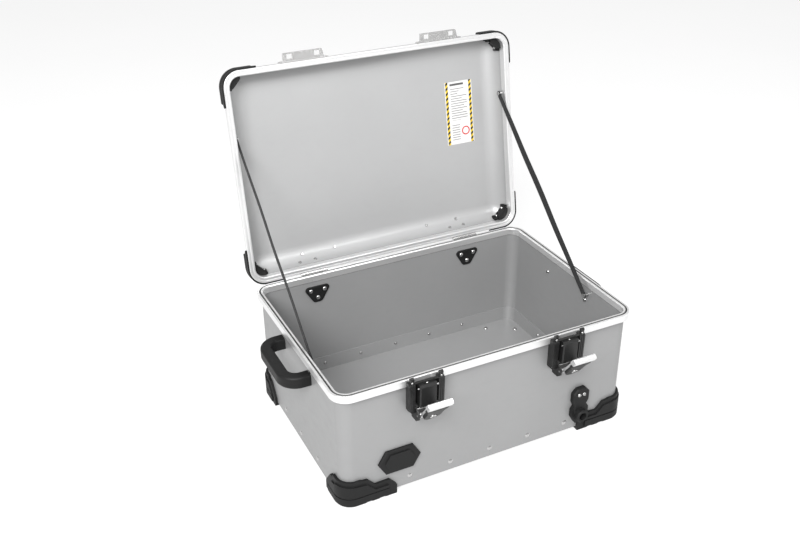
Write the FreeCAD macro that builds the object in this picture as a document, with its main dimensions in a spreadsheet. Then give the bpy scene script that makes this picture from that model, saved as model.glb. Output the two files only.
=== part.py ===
"""Hinged aluminium top case with two draw latches, side handles and lid straps.

Units are millimetres.  X runs along the case, -Y is the latch side and +Z is up.
The origin is the middle of the rack bolt pattern on the underside of the floor.
The lid is modelled shut and then turned about its hinge to its open rest place.
"""
import FreeCAD, Part
import Sketcher
import math
import os

Vec = FreeCAD.Vector
X_AXIS = Vec(1, 0, 0)
Y_AXIS = Vec(0, 1, 0)
Z_AXIS = Vec(0, 0, 1)

SIZES = (
    ("body_width", 600, "outside of the sheet walls, along X"),
    ("body_depth", 406, "outside of the sheet walls, along Y"),
    ("body_height", 236, "underside of the floor to the rim's mating face"),
    ("sheet_thickness", 1.5, "walls, floor and lid"),
    ("corner_radius", 24, "upright corners of the sheet, outside"),
    ("wall_height", 233.3, "sheet wall, floor underside to its edge in the rim slot"),
    ("fit_gap", 0.1, "gap between sheets and the parts they fit into"),
    ("flange_height", 34, "upturned edge of the floor pan"),
    ("rim_outward", 8.3, "rim's outer face, outside the wall"),
    ("rim_inward", 3.3, "rim's inner face, inside the wall's outer face"),
    ("rim_height", 14, "skirt and inner lip of the rims"),
    ("rim_web", 2.6, "metal over the sheet's slot"),
    ("rim_metal", 1.6, "rim legs"),
    ("seal_groove_start", 1.0, "seal groove, from the wall's outer face"),
    ("seal_groove_width", 3.2, "seal groove"),
    ("seal_groove_depth", 1.8, "seal groove"),
    ("mating_gap", 0.6, "between the two rims when shut"),
    ("lid_height", 53, "mating face to the top of the lid"),
    ("lid_edge_radius", 36, "edge of the lid's top"),
    ("open_angle", 99.4, "lid's rest angle from shut"),
    ("hinge_offset", 9.4, "hinge axis behind the back wall's outer face"),
    ("hinge_place", 176, "middle of each hinge, from the middle of the case"),
    ("hinge_width", 56, "hinge leaf"),
    ("hinge_pin_radius", 2.0, "hinge pin"),
    ("knuckle_radius", 3.8, "hinge knuckle"),
    ("leaf_thickness", 2.5, "hinge leaf"),
    ("latch_place", 146, "middle of each latch, from the middle of the case"),
    ("latch_width", 68, "latch hook across its cheeks"),
    ("latch_inner_width", 45.2, "between the cheeks"),
    ("latch_block_width", 33, "raised middle of the latch hook"),
    ("lever_width", 36, "latch lever"),
    ("grip_width", 46, "latch lever's grip bar"),
    ("lever_angle", 37, "lever's rest angle from shut"),
    ("hook_angle", 2, "hook's rest tilt away from the keeper"),
    ("pin_radius", 2.0, "latch pins"),
    ("running_gap", 0.06, "radial gap round a turning pin"),
    ("handle_span", 132, "between the handle's screws"),
    ("handle_height", 189, "middle of the handles over the floor"),
    ("handle_reach", 53, "wall to the outside of the grip"),
    ("handle_thickness", 22, "handle leg and grip"),
    ("handle_depth", 24, "handle, top to bottom"),
    ("foot_height", 7, "underside of the floor to the ground"),
    ("foot_thickness", 5.5, "corner protector's wall"),
    ("lid_corner_outward", 11.8, "lid corner protector, outside the wall"),
    ("strap_width", 12, "lid strap"),
    ("strap_thickness", 1.8, "lid strap"),
    ("strap_base_y", -74, "strap's lower stud"),
    ("strap_base_z", 205.5, "strap's lower stud"),
    ("strap_lid_y", -80, "strap's upper stud, lid shut"),
    ("strap_lid_rise", 21, "strap's upper stud over the lid's mating face"),
    ("rack_span_x", 200, "rack bolt pattern"),
    ("rack_span_y", 130, "rack bolt pattern"),
    ("rack_hole_radius", 4.25, "rack bolt hole"),
    ("socket_bore_radius", 8.2, "accessory socket"),
    ("socket_bore_depth", 16, "accessory socket"),
    ("cover_thickness", 5, "hexagonal cover plate"),
    ("backing_thickness", 3, "plates behind the hinges"),
    ("floor_plate_thickness", 3, "stiffener under the load"),
)

doc = FreeCAD.newDocument("top_case")
sheet = doc.addObject("Spreadsheet::Sheet", "Sizes")
for row, (alias, value, note) in enumerate(SIZES, start=1):
    sheet.set(f"A{row}", note)
    sheet.set(f"B{row}", str(value))
    sheet.setAlias(f"B{row}", alias)
doc.recompute()


def size(alias):
    """The value of one cell of the sheet."""
    return float(sheet.get(alias))


WIDTH = size("body_width")
DEPTH = size("body_depth")
TOP = size("body_height")
SHEET = size("sheet_thickness")
CORNER = size("corner_radius")
GAP = size("fit_gap")
HALF_W = WIDTH / 2
HALF_D = DEPTH / 2
SHUT = TOP + size("mating_gap")          # lid's mating face when shut
HINGE_Y = HALF_D + size("hinge_offset")
HINGE_Z = TOP + size("mating_gap") / 2
RUNNING = size("running_gap")
TINY = 0.02                              # keeps seated faces from touching

parts = []


# ---------------------------------------------------------------- helpers

def keep(obj, label):
    """Registers an object as one named sub-part."""
    obj.Label = label
    parts.append(obj)
    return obj


def bind(obj, prop, expression):
    obj.setExpression(prop, expression)


def turned(axis, degrees, centre):
    """A rotation about a line through centre."""
    return FreeCAD.Placement(Vec(0, 0, 0), FreeCAD.Rotation(axis, degrees), centre)


LID_OPEN = turned(X_AXIS, -size("open_angle"), Vec(0, HINGE_Y, HINGE_Z))


def new_body(label):
    body = doc.addObject("PartDesign::Body", label + "_body")
    return keep(body, label)


def plane_of(body, role):
    return next(f for f in body.Origin.OriginFeatures if f.Role == role)


def sketch_on(body, role, name, offset=0.0):
    """A sketch on one of the body's origin planes, moved along its normal."""
    sketch = body.newObject("Sketcher::SketchObject", name)
    sketch.AttachmentSupport = [(plane_of(body, role), "")]
    sketch.MapMode = "FlatFace"
    sketch.AttachmentOffset = FreeCAD.Placement(Vec(0, 0, offset), FreeCAD.Rotation())
    return sketch


def draw_centred_rectangle(sketch, width, depth):
    """A rectangle about the sketch's origin, its sides bound to expressions."""
    w = float(sheet.evalExpression(width)) / 2
    d = float(sheet.evalExpression(depth)) / 2
    corners = [Vec(-w, -d, 0), Vec(w, -d, 0), Vec(w, d, 0), Vec(-w, d, 0)]
    for i in range(4):
        sketch.addGeometry(Part.LineSegment(corners[i], corners[(i + 1) % 4]), False)
    for i in range(4):
        sketch.addConstraint(Sketcher.Constraint("Coincident", i, 2, (i + 1) % 4, 1))
    for i in (0, 2):
        sketch.addConstraint(Sketcher.Constraint("Horizontal", i))
        sketch.addConstraint(Sketcher.Constraint("Vertical", i + 1))
    sketch.addConstraint(Sketcher.Constraint("Symmetric", 0, 1, 1, 2, -1, 1))
    across = sketch.addConstraint(Sketcher.Constraint("DistanceX", 0, 1, 0, 2, 2 * w))
    along = sketch.addConstraint(Sketcher.Constraint("DistanceY", 1, 1, 1, 2, 2 * d))
    bind(sketch, f"Constraints[{across}]", width)
    bind(sketch, f"Constraints[{along}]", depth)


def draw_polygon(sketch, points):
    """A closed outline of straight lines."""
    corners = [Vec(p[0], p[1], 0) for p in points]
    count = len(corners)
    first = sketch.GeometryCount
    for i in range(count):
        sketch.addGeometry(Part.LineSegment(corners[i], corners[(i + 1) % count]), False)
    for i in range(count):
        following = first + (i + 1) % count
        sketch.addConstraint(Sketcher.Constraint("Coincident", first + i, 2, following, 1))


def draw_case_outline(sketch, inset="0"):
    """The walls' rounded outline, moved inwards, its sides and radius bound to the sheet."""
    moved = float(sheet.evalExpression(inset))
    w = HALF_W - moved
    d = HALF_D - moved
    r = CORNER - moved
    centres = ((w - r, r - d), (w - r, d - r), (r - w, d - r), (r - w, r - d))
    starts = ((r - w, -d), (w, r - d), (w - r, d), (-w, d - r))
    ends = ((w - r, -d), (w, d - r), (r - w, d), (-w, r - d))
    for i in range(4):
        sketch.addGeometry(Part.LineSegment(Vec(*starts[i], 0), Vec(*ends[i], 0)), False)
        circle = Part.Circle(Vec(*centres[i], 0), Z_AXIS, r)
        turn = math.radians(90 * i - 90)
        sketch.addGeometry(Part.ArcOfCircle(circle, turn, turn + math.pi / 2), False)
    for i in range(8):
        sketch.addConstraint(Sketcher.Constraint("Tangent", i, 2, (i + 1) % 8, 1))
    for i in (0, 4):
        sketch.addConstraint(Sketcher.Constraint("Horizontal", i))
        sketch.addConstraint(Sketcher.Constraint("Vertical", i + 2))
    for i in (3, 5, 7):
        sketch.addConstraint(Sketcher.Constraint("Equal", 1, i))
    sketch.addConstraint(Sketcher.Constraint("Symmetric", 1, 3, 5, 3, -1, 1))
    radius = sketch.addConstraint(Sketcher.Constraint("Radius", 1, r))
    across = sketch.addConstraint(Sketcher.Constraint("DistanceX", 5, 3, 1, 3, 2 * (w - r)))
    along_y = sketch.addConstraint(Sketcher.Constraint("DistanceY", 1, 3, 5, 3, 2 * (d - r)))
    bind(sketch, f"Constraints[{radius}]", f"Sizes.corner_radius - ({inset})")
    bind(sketch, f"Constraints[{across}]", "Sizes.body_width - 2 * Sizes.corner_radius")
    bind(sketch, f"Constraints[{along_y}]", "Sizes.body_depth - 2 * Sizes.corner_radius")


def draw_box(sketch, x_low, x_high, y_low, y_high):
    draw_polygon(sketch, [(x_low, y_low), (x_high, y_low), (x_high, y_high), (x_low, y_high)])


def draw_circles(sketch, centres, radius):
    for x, y in centres:
        sketch.addGeometry(Part.Circle(Vec(x, y, 0), Z_AXIS, radius), False)


def pad(body, sketch, length, reverse=False, midplane=False):
    feature = body.newObject("PartDesign::Pad", sketch.Name + "_pad")
    feature.Profile = sketch
    bind(feature, "Length", length)
    feature.Reversed = reverse
    feature.SideType = 2 if midplane else 0
    sketch.Visibility = False
    doc.recompute()
    return feature


def pocket(body, sketch, length, reverse=False, midplane=False):
    """Cuts a sketch into the body and makes sure that something was removed."""
    before = body.Shape.Volume
    feature = body.newObject("PartDesign::Pocket", sketch.Name + "_pocket")
    feature.Profile = sketch
    bind(feature, "Length", length)
    feature.Reversed = reverse
    feature.SideType = 2 if midplane else 0
    sketch.Visibility = False
    doc.recompute()
    if not body.Shape.Volume < before - 1e-3:
        raise RuntimeError(f"{feature.Name} in {body.Label} removed nothing")
    return feature


def edge_names(shape, wanted):
    return [f"Edge{i}" for i, edge in enumerate(shape.Edges, start=1) if wanted(edge)]


def is_upright(edge):
    box = edge.BoundBox
    return box.XLength < 1e-4 and box.YLength < 1e-4


def fillet(body, base, wanted, radius):
    feature = body.newObject("PartDesign::Fillet", base.Name + "_fillet")
    feature.Base = (base, edge_names(base.Shape, wanted))
    bind(feature, "Radius", radius)
    doc.recompute()
    return feature


def chamfer(body, base, wanted, length):
    feature = body.newObject("PartDesign::Chamfer", base.Name + "_chamfer")
    feature.Base = (base, edge_names(base.Shape, wanted))
    bind(feature, "Size", length)
    doc.recompute()
    return feature


def solid_part(label, shape, placement=None):
    """A sub-part whose shape is worked out here, for forms that no feature makes."""
    obj = doc.addObject("Part::Feature", label + "_shape")
    obj.Shape = shape
    if placement is not None:
        obj.Placement = placement
    return keep(obj, label)


def rounded_box(grow, z_low, z_high, top_radius=0.0):
    """The case's outline grown sideways, as a solid between two heights."""
    w = WIDTH + 2 * grow
    d = DEPTH + 2 * grow
    block = Part.makeBox(w, d, z_high - z_low, Vec(-w / 2, -d / 2, z_low))
    block = block.makeFillet(CORNER + grow, [e for e in block.Edges if is_upright(e)])
    if top_radius:
        top = [e for e in block.Edges if e.BoundBox.ZMin > z_high - 1e-3]
        block = block.makeFillet(top_radius, top)
    return block


def prism(points, start, vector):
    """A polygon of 3-D points moved to start and pushed along vector."""
    corners = [Vec(*p).add(start) for p in points]
    face = Part.Face(Part.makePolygon(corners + corners[:1]))
    return face.extrude(vector)


def mirrored_to(shape, side_x, side_y):
    """Turns a piece made at +X +Y into the one at another corner."""
    if side_x < 0:
        shape = shape.mirror(Vec(0, 0, 0), X_AXIS)
    if side_y < 0:
        shape = shape.mirror(Vec(0, 0, 0), Y_AXIS)
    return shape


def along(direction, place):
    """Places a piece made along +Z so that it points along direction."""
    return FreeCAD.Placement(place, FreeCAD.Rotation(Z_AXIS, direction))


def domed_rivet(grip, shank=2.4, head=5.2, rise=1.8, tail=3.6, tail_rise=1.6):
    """Head over the grip's top, formed tail under its bottom, along +Z."""
    top = grip + TINY
    low = -TINY
    outline = [
        Part.Arc(Vec(0, 0, top + rise), Vec(head * 0.66, 0, top + rise * 0.68), Vec(head, 0, top)).toShape(),
        Part.makeLine(Vec(head, 0, top), Vec(shank, 0, top)),
        Part.makeLine(Vec(shank, 0, top), Vec(shank, 0, low)),
        Part.makeLine(Vec(shank, 0, low), Vec(tail, 0, low)),
        Part.makeLine(Vec(tail, 0, low), Vec(tail * 0.75, 0, low - tail_rise)),
        Part.makeLine(Vec(tail * 0.75, 0, low - tail_rise), Vec(0, 0, low - tail_rise)),
        Part.makeLine(Vec(0, 0, low - tail_rise), Vec(0, 0, top + rise)),
    ]
    return Part.Face(Part.Wire(outline)).revolve(Vec(0, 0, 0), Z_AXIS, 360)


def button_screw(length, shank=2.5, head=4.8, rise=2.6, key=1.5):
    """Hexagon-socket button screw: its head sits at Z = 0 and its shank runs down."""
    outline = [
        Part.makeLine(Vec(0, 0, rise), Vec(head * 0.45, 0, rise)),
        Part.Arc(Vec(head * 0.45, 0, rise), Vec(head * 0.84, 0, rise * 0.66), Vec(head, 0, TINY)).toShape(),
        Part.makeLine(Vec(head, 0, TINY), Vec(shank, 0, TINY)),
        Part.makeLine(Vec(shank, 0, TINY), Vec(shank, 0, -length)),
        Part.makeLine(Vec(shank, 0, -length), Vec(0, 0, -length)),
        Part.makeLine(Vec(0, 0, -length), Vec(0, 0, rise)),
    ]
    screw = Part.Face(Part.Wire(outline)).revolve(Vec(0, 0, 0), Z_AXIS, 360)
    hexagon = [(key * math.cos(math.radians(60 * i)), key * math.sin(math.radians(60 * i)), 0) for i in range(6)]
    return screw.cut(prism(hexagon, Vec(0, 0, rise * 0.4), Vec(0, 0, rise)))


def fasteners(label, piece, places, placement=None):
    """Identical fasteners as one group; places are (point, direction) pairs."""
    solids = []
    for point, direction in places:
        copy = piece.copy()
        copy.Placement = along(direction, point)
        solids.append(copy)
    return solid_part(label, Part.makeCompound(solids), placement)


def drilled(shape, places, radius, length):
    """Cuts round holes that start at each point and run along each direction."""
    for point, direction in places:
        shape = shape.cut(Part.makeCylinder(radius, length, point, direction))
    return shape


# ---------------------------------------------------------------- fixing places

RIVET_Z = 18
RIVET_X = [84 * i for i in (-2, -1, 0, 1, 2)]
RIVET_Y = [84 * i for i in (-1, 0, 1)]
RIVET_HOLE = 2.45
SCREW_HOLE = 2.55

LATCH_SCREW_X = 22
LATCH_SCREW_DROP = (26, 60)
latch_middles = (-size("latch_place"), size("latch_place"))
latch_screws = [(middle + side * LATCH_SCREW_X, TOP - drop)
                for middle in latch_middles for side in (-1, 1) for drop in LATCH_SCREW_DROP]

HINGE_SCREWS = ((-15, 201), (15, 201), (0, 184))
hinge_middles = (-size("hinge_place"), size("hinge_place"))
hinge_screws = [(middle + x, z) for middle in hinge_middles for x, z in HINGE_SCREWS]

COVER_X = -190
COVER_Z = 65.5
cover_screws = [(COVER_X - 18, COVER_Z), (COVER_X + 18, COVER_Z)]

SOCKET_X = 197
SOCKET_Z = 36
SOCKET_FACE = 10.0         # front of the socket's upper part, off the wall
socket_screws = [(SOCKET_X - 5.5, 82), (SOCKET_X + 5.5, 82)]

handle_screws = [(side * size("handle_span") / 2, size("handle_height")) for side in (-1, 1)]
strap_stud = (size("strap_base_y"), size("strap_base_z"))

rack_holes = [(sx * size("rack_span_x") / 2, sy * size("rack_span_y") / 2)
              for sx in (-1, 1) for sy in (-1, 1)]
plate_rivets = [(sx * 118, sy * 76) for sx in (-1, 1) for sy in (-1, 0, 1)]


# ---------------------------------------------------------------- tub

def drill_walls(body, z_limit):
    """Drills the walls' fixing holes that lie below z_limit."""
    walls = (
        ("front", "XZ_Plane", HALF_D + 1, False,
         [(x, RIVET_Z) for x in RIVET_X], latch_screws + cover_screws + socket_screws),
        ("back", "XZ_Plane", -HALF_D - 1, True,
         [(x, RIVET_Z) for x in RIVET_X], hinge_screws),
        ("right", "YZ_Plane", HALF_W + 1, False,
         [(y, RIVET_Z) for y in RIVET_Y], handle_screws + [strap_stud]),
        ("left", "YZ_Plane", -HALF_W - 1, True,
         [(y, RIVET_Z) for y in RIVET_Y], handle_screws + [strap_stud]),
    )
    for side, plane, offset, reverse, rivets, screws in walls:
        sketch = sketch_on(body, plane, f"{body.Label}_{side}_holes", offset)
        draw_circles(sketch, rivets, RIVET_HOLE)
        draw_circles(sketch, [c for c in screws if c[1] < z_limit], SCREW_HOLE)
        pocket(body, sketch, "Sizes.sheet_thickness * 4", reverse)


def make_wall_wrap():
    """The four sheet walls, bent from one strip."""
    body = new_body("wall_wrap")
    outline = sketch_on(body, "XY_Plane", "wall_outline")
    draw_case_outline(outline)
    pad(body, outline, "Sizes.wall_height")
    inside = sketch_on(body, "XY_Plane", "wall_inside", size("wall_height"))
    draw_case_outline(inside, "Sizes.sheet_thickness")
    pocket(body, inside, "Sizes.wall_height + 1")
    drill_walls(body, TOP)


def make_floor_pan():
    """The floor, with an upturned edge riveted inside the walls."""
    body = new_body("floor_pan")
    outline = sketch_on(body, "XY_Plane", "pan_outline")
    draw_case_outline(outline, "Sizes.sheet_thickness + Sizes.fit_gap")
    pad(body, outline, "Sizes.flange_height")
    inside = sketch_on(body, "XY_Plane", "pan_inside", size("flange_height"))
    draw_case_outline(inside, "2 * Sizes.sheet_thickness + Sizes.fit_gap")
    pocket(body, inside, "Sizes.flange_height - Sizes.sheet_thickness")
    drill_walls(body, size("flange_height"))
    holes = sketch_on(body, "XY_Plane", "pan_holes", SHEET + 1)
    draw_circles(holes, rack_holes, size("rack_hole_radius"))
    draw_circles(holes, plate_rivets, RIVET_HOLE)
    draw_circles(holes, [(sx * x, sy * y) for sx in (-1, 1) for sy in (-1, 1) for x, y in FOOT_SCREWS],
                 SCREW_HOLE)
    pocket(body, holes, "Sizes.sheet_thickness + 2")


def make_floor_plate():
    """A stiffener over the rack bolts."""
    body = new_body("floor_plate")
    outline = sketch_on(body, "XY_Plane", "plate_outline", SHEET + GAP)
    draw_centred_rectangle(outline, "Sizes.rack_span_x + 60", "Sizes.rack_span_y + 40")
    block = pad(body, outline, "Sizes.floor_plate_thickness")
    fillet(body, block, is_upright, "Sizes.corner_radius / 2")
    holes = sketch_on(body, "XY_Plane", "plate_holes", SHEET + GAP + size("floor_plate_thickness") + 1)
    draw_circles(holes, rack_holes, size("rack_hole_radius"))
    draw_circles(holes, plate_rivets, RIVET_HOLE)
    pocket(body, holes, "Sizes.floor_plate_thickness + 2")


def rim_profile(mating_z, up, outward, inward, lip):
    """Section of a rim: (distance outside the wall, height), up is the mating side."""
    metal = size("rim_metal")
    skirt = size("rim_height") - (0 if up > 0 else 1)
    web = size("rim_web")
    chamber_top = web + 1.9
    groove = size("seal_groove_start")
    groove_end = groove + size("seal_groove_width")
    deep = size("seal_groove_depth") if up > 0 else size("seal_groove_depth") * 0.6
    edge = 0.7
    shape = [
        (-inward, lip), (-inward, edge * 2), (-inward + edge * 2, 0), (groove, 0), (groove, deep),
        (groove_end, deep), (groove_end, 0), (outward - edge, 0), (outward, edge), (outward, skirt),
        (outward - metal, skirt), (outward - metal, chamber_top), (metal, chamber_top), (metal, skirt),
        (GAP, skirt), (GAP, web), (-SHEET - GAP, web), (-SHEET - GAP, lip),
    ]
    return [(u, mating_z - up * drop) for u, drop in shape]


def draw_rounded_path(sketch, grow=0.0):
    """The wall's outline as a path that starts halfway along its right side."""
    w = HALF_W + grow
    d = HALF_D + grow
    r = CORNER + grow
    corners = ((w - r, d - r, 0), (r - w, d - r, 90), (r - w, r - d, 180), (w - r, r - d, 270))
    point = Vec(w, 0, 0)
    for cx, cy, start in corners:
        begin = Vec(cx + r * math.cos(math.radians(start)), cy + r * math.sin(math.radians(start)), 0)
        sketch.addGeometry(Part.LineSegment(point, begin), False)
        circle = Part.Circle(Vec(cx, cy, 0), Z_AXIS, r)
        sketch.addGeometry(Part.ArcOfCircle(circle, math.radians(start), math.radians(start + 90)), False)
        point = Vec(cx + r * math.cos(math.radians(start + 90)), cy + r * math.sin(math.radians(start + 90)), 0)
    sketch.addGeometry(Part.LineSegment(point, Vec(w, 0, 0)), False)


def swept_ring(label, profile, path_z):
    """A section swept round the wall's outline."""
    body = new_body(label)
    path = sketch_on(body, "XY_Plane", label + "_path", path_z)
    draw_rounded_path(path)
    section = sketch_on(body, "XZ_Plane", label + "_section")
    draw_polygon(section, [(HALF_W + u, z) for u, z in profile])
    doc.recompute()
    pipe = body.newObject("PartDesign::AdditivePipe", label + "_pipe")
    pipe.Profile = section
    pipe.Spine = (path, [])
    doc.recompute()
    path.Visibility = False
    section.Visibility = False
    return body


def notch_for_hinges(body, z_low, z_high):
    """Clears the hinge knuckles out of the rim's back edge."""
    sketch = sketch_on(body, "XY_Plane", body.Label + "_notches", z_high)
    half = size("hinge_width") / 2 + 1
    for middle in hinge_middles:
        draw_box(sketch, middle - half, middle + half,
                 HINGE_Y - size("knuckle_radius") - 0.5, HALF_D + size("rim_outward") + 2)
    pocket(body, sketch, str(z_high - z_low))


def make_base_rim():
    body = swept_ring("base_rim", rim_profile(TOP, 1, size("rim_outward"), size("rim_inward"),
                                              size("rim_height")), TOP)
    notch_for_hinges(body, TOP - size("knuckle_radius") - 1.2, TOP + 1)


def make_rim_seal():
    """A rubber bead that lies in the base rim's groove."""
    low = TOP - size("seal_groove_depth") + 0.05
    start = size("seal_groove_start") + 0.1
    end = start + size("seal_groove_width") - 0.2
    profile = [(start, low), (end, low), (end, TOP - 0.5), (end - 0.9, TOP + 0.2),
               (start + 0.9, TOP + 0.2), (start, TOP - 0.5)]
    swept_ring("rim_seal", profile, TOP)


def make_base_rivets():
    """Rivets of the pan's flange and of the floor plate."""
    grip = 2 * SHEET + GAP
    inner_y = HALF_D - grip
    inner_x = HALF_W - grip
    places = []
    for x in RIVET_X:
        places.append((Vec(x, -inner_y, RIVET_Z), -Y_AXIS))
        places.append((Vec(x, inner_y, RIVET_Z), Y_AXIS))
    for y in RIVET_Y:
        places.append((Vec(-inner_x, y, RIVET_Z), -X_AXIS))
        places.append((Vec(inner_x, y, RIVET_Z), X_AXIS))
    solids = []
    rivet = domed_rivet(grip)
    for point, direction in places:
        copy = rivet.copy()
        copy.Placement = along(direction, point)
        solids.append(copy)
    long_rivet = domed_rivet(SHEET + GAP + size("floor_plate_thickness"))
    for x, y in plate_rivets:
        copy = long_rivet.copy()
        copy.Placement = along(Z_AXIS, Vec(x, y, 0))
        solids.append(copy)
    solid_part("base_rivets", Part.makeCompound(solids))


# ---------------------------------------------------------------- corner feet

FOOT_SCREWS = ((222, HALF_D - 20), (HALF_W - 20, 150))
FOOT_LONG = ((197, 0), (197, 20), (211, 36), (239, 35), (254, 51), (284, 54))
FOOT_SHORT = ((136, 0), (136, 18), (158, 47), (182, 50), (190, 53))
FOOT_LONG_RAISED = ((213, 4), (213, 26), (240, 26), (256, 42), (284, 45))
FOOT_SHORT_RAISED = ((149, 4), (149, 18), (167, 39), (190, 42))
FOOT_SCALLOPS = ((226, 9), (252, 9))     # notches in the lower edge: place, half width


def wrapped_outline(ring, long_side, short_side, reach):
    """The part of a ring inside two stepped side outlines; heights are over the ground."""
    ground = -size("foot_height")
    far_x = HALF_W + 30
    far_y = HALF_D + 30
    top_x = long_side[-1][1] + 1
    outline = list(long_side) + [(far_x, top_x), (far_x, long_side[0][1])]
    front = prism([(x, 0, z + ground) for x, z in outline], Vec(0, HALF_D - reach, 0), Vec(0, reach + 30, 0))
    outline = list(short_side) + [(far_y, top_x), (far_y, short_side[0][1])]
    side = prism([(0, y, z + ground) for y, z in outline], Vec(HALF_W - reach, 0, 0), Vec(reach + 30, 0, 0))
    return ring.common(front.fuse(side))


def make_feet():
    """Moulded protectors that wrap the bottom corners and carry the case."""
    ground = -size("foot_height")
    thick = size("foot_thickness")
    clear = rounded_box(0.15, -0.15, 80)
    shell = rounded_box(thick, ground, 80).cut(clear)
    raised = rounded_box(thick + 2.6, ground + 3, 60).cut(rounded_box(thick - 0.5, ground + 2, 61))
    foot = wrapped_outline(shell, FOOT_LONG, FOOT_SHORT, 34)
    foot = foot.fuse(wrapped_outline(raised, FOOT_LONG_RAISED, FOOT_SHORT_RAISED, 20))
    groove = rounded_box(thick + 4, ground + 18, ground + 20.5).cut(rounded_box(thick + 0.8, ground + 17, ground + 22))
    foot = foot.cut(groove).removeSplitter()
    for x, width in FOOT_SCALLOPS:
        notch = prism([(x - width, 0, ground - 1), (x + width, 0, ground - 1), (x, 0, ground + 3.2)],
                      Vec(0, HALF_D + 1, 0), Vec(0, 20, 0))
        foot = foot.cut(notch)
    blind = size("foot_height") - 1.5
    for x, y in FOOT_SCREWS:
        foot = foot.cut(Part.makeCylinder(SCREW_HOLE, blind, Vec(x, y, -blind), Z_AXIS))
    names = {(-1, -1): "foot_front_left", (1, -1): "foot_front_right",
             (-1, 1): "foot_back_left", (1, 1): "foot_back_right"}
    places = []
    for (side_x, side_y), label in names.items():
        solid_part(label, mirrored_to(foot, side_x, side_y))
        places += [(Vec(side_x * x, side_y * y, SHEET), Z_AXIS) for x, y in FOOT_SCREWS]
    fasteners("foot_screws", button_screw(SHEET + blind - 0.8), places)


# ---------------------------------------------------------------- handles

def make_handle(label, side):
    """A moulded U handle, made on the right side and turned for the left."""
    body = new_body(label)
    thick = size("handle_thickness")
    leg = size("handle_span") / 2 + thick / 2
    start = HALF_W + TINY
    outer = HALF_W + size("handle_reach")
    outline = sketch_on(body, "XY_Plane", label + "_outline", size("handle_height"))
    draw_polygon(outline, [(start, -leg), (outer, -leg), (outer, leg), (start, leg),
                           (start, leg - thick), (outer - thick, leg - thick),
                           (outer - thick, thick - leg), (start, thick - leg)])
    grip = pad(body, outline, "Sizes.handle_depth", midplane=True)

    def near(edge, x, y):
        box = edge.BoundBox
        return is_upright(edge) and abs(box.XMin - x) < 0.1 and abs(abs(box.YMin) - y) < 0.1

    grip = fillet(body, grip, lambda e: near(e, outer, leg), "Sizes.handle_thickness * 1.75")
    grip = fillet(body, grip, lambda e: near(e, outer - thick, leg - thick), "Sizes.handle_thickness * 0.75")
    level = size("handle_height")
    half = size("handle_depth") / 2

    def is_outline_edge(edge):
        box = edge.BoundBox
        flat = box.ZLength < 1e-4 and abs(abs(box.ZMin - level) - half) < 1e-3
        return flat and box.XMax > start + 0.1

    fillet(body, grip, is_outline_edge, "Sizes.handle_depth / 5")
    holes = sketch_on(body, "YZ_Plane", label + "_holes", HALF_W)
    draw_circles(holes, handle_screws, SCREW_HOLE)
    pocket(body, holes, "Sizes.handle_reach / 3", reverse=True)
    if side < 0:
        body.Placement = turned(Z_AXIS, 180, Vec(0, 0, 0))


def make_handle_screws():
    inside = HALF_W - SHEET
    places = [(Vec(side * inside, y, z), Vec(-side, 0, 0)) for side in (-1, 1) for y, z in handle_screws]
    fasteners("handle_screws", button_screw(SHEET + size("handle_reach") / 3 - 1), places)


# ---------------------------------------------------------------- latches

LEVER_OUT = 29.0        # lever pin, in front of the wall
LEVER_DROP = 65.0       # lever pin, below the rim's mating face
HOOK_OUT = 15.5         # hook pin
HOOK_DROP = 60.0
FRONT = -HALF_D
PLATE_OUT = 8.4         # front of the latch's back plate
CHEEK_TOP = 1.5         # drop of the cheeks' top
BLOCK_OUT = 28.5        # front of the hook's raised middle
BLOCK_TOP = 5.0         # drop of its top
POST_OUT = 20.2         # front of the posts that carry the knobs
KNOB_X = 28.0
KNOB_OUT = 17.6
KNOB_RISE = 7.0         # middle of the knobs over the mating face
KNOB_RADIUS = 3.2
POST_SCREW_DROP = -1.0
CROSS_OUT = 24.5
CROSS_DROP = 11.0
CROSS_RADIUS = 1.6
TOP_SCREW_OUT = 20.0


def out(distance):
    """Y of a place that far in front of the front wall."""
    return FRONT - distance


def drop(distance):
    """Z of a place that far below the base rim's mating face."""
    return TOP - distance


def latch_place(middle, degrees, out_of_wall, below):
    """Turns a latch piece about its own pin and moves it to its latch."""
    turn = turned(X_AXIS, degrees, Vec(0, out(out_of_wall), drop(below)))
    turn.Base = turn.Base.add(Vec(middle, 0, 0))
    return turn


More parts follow.
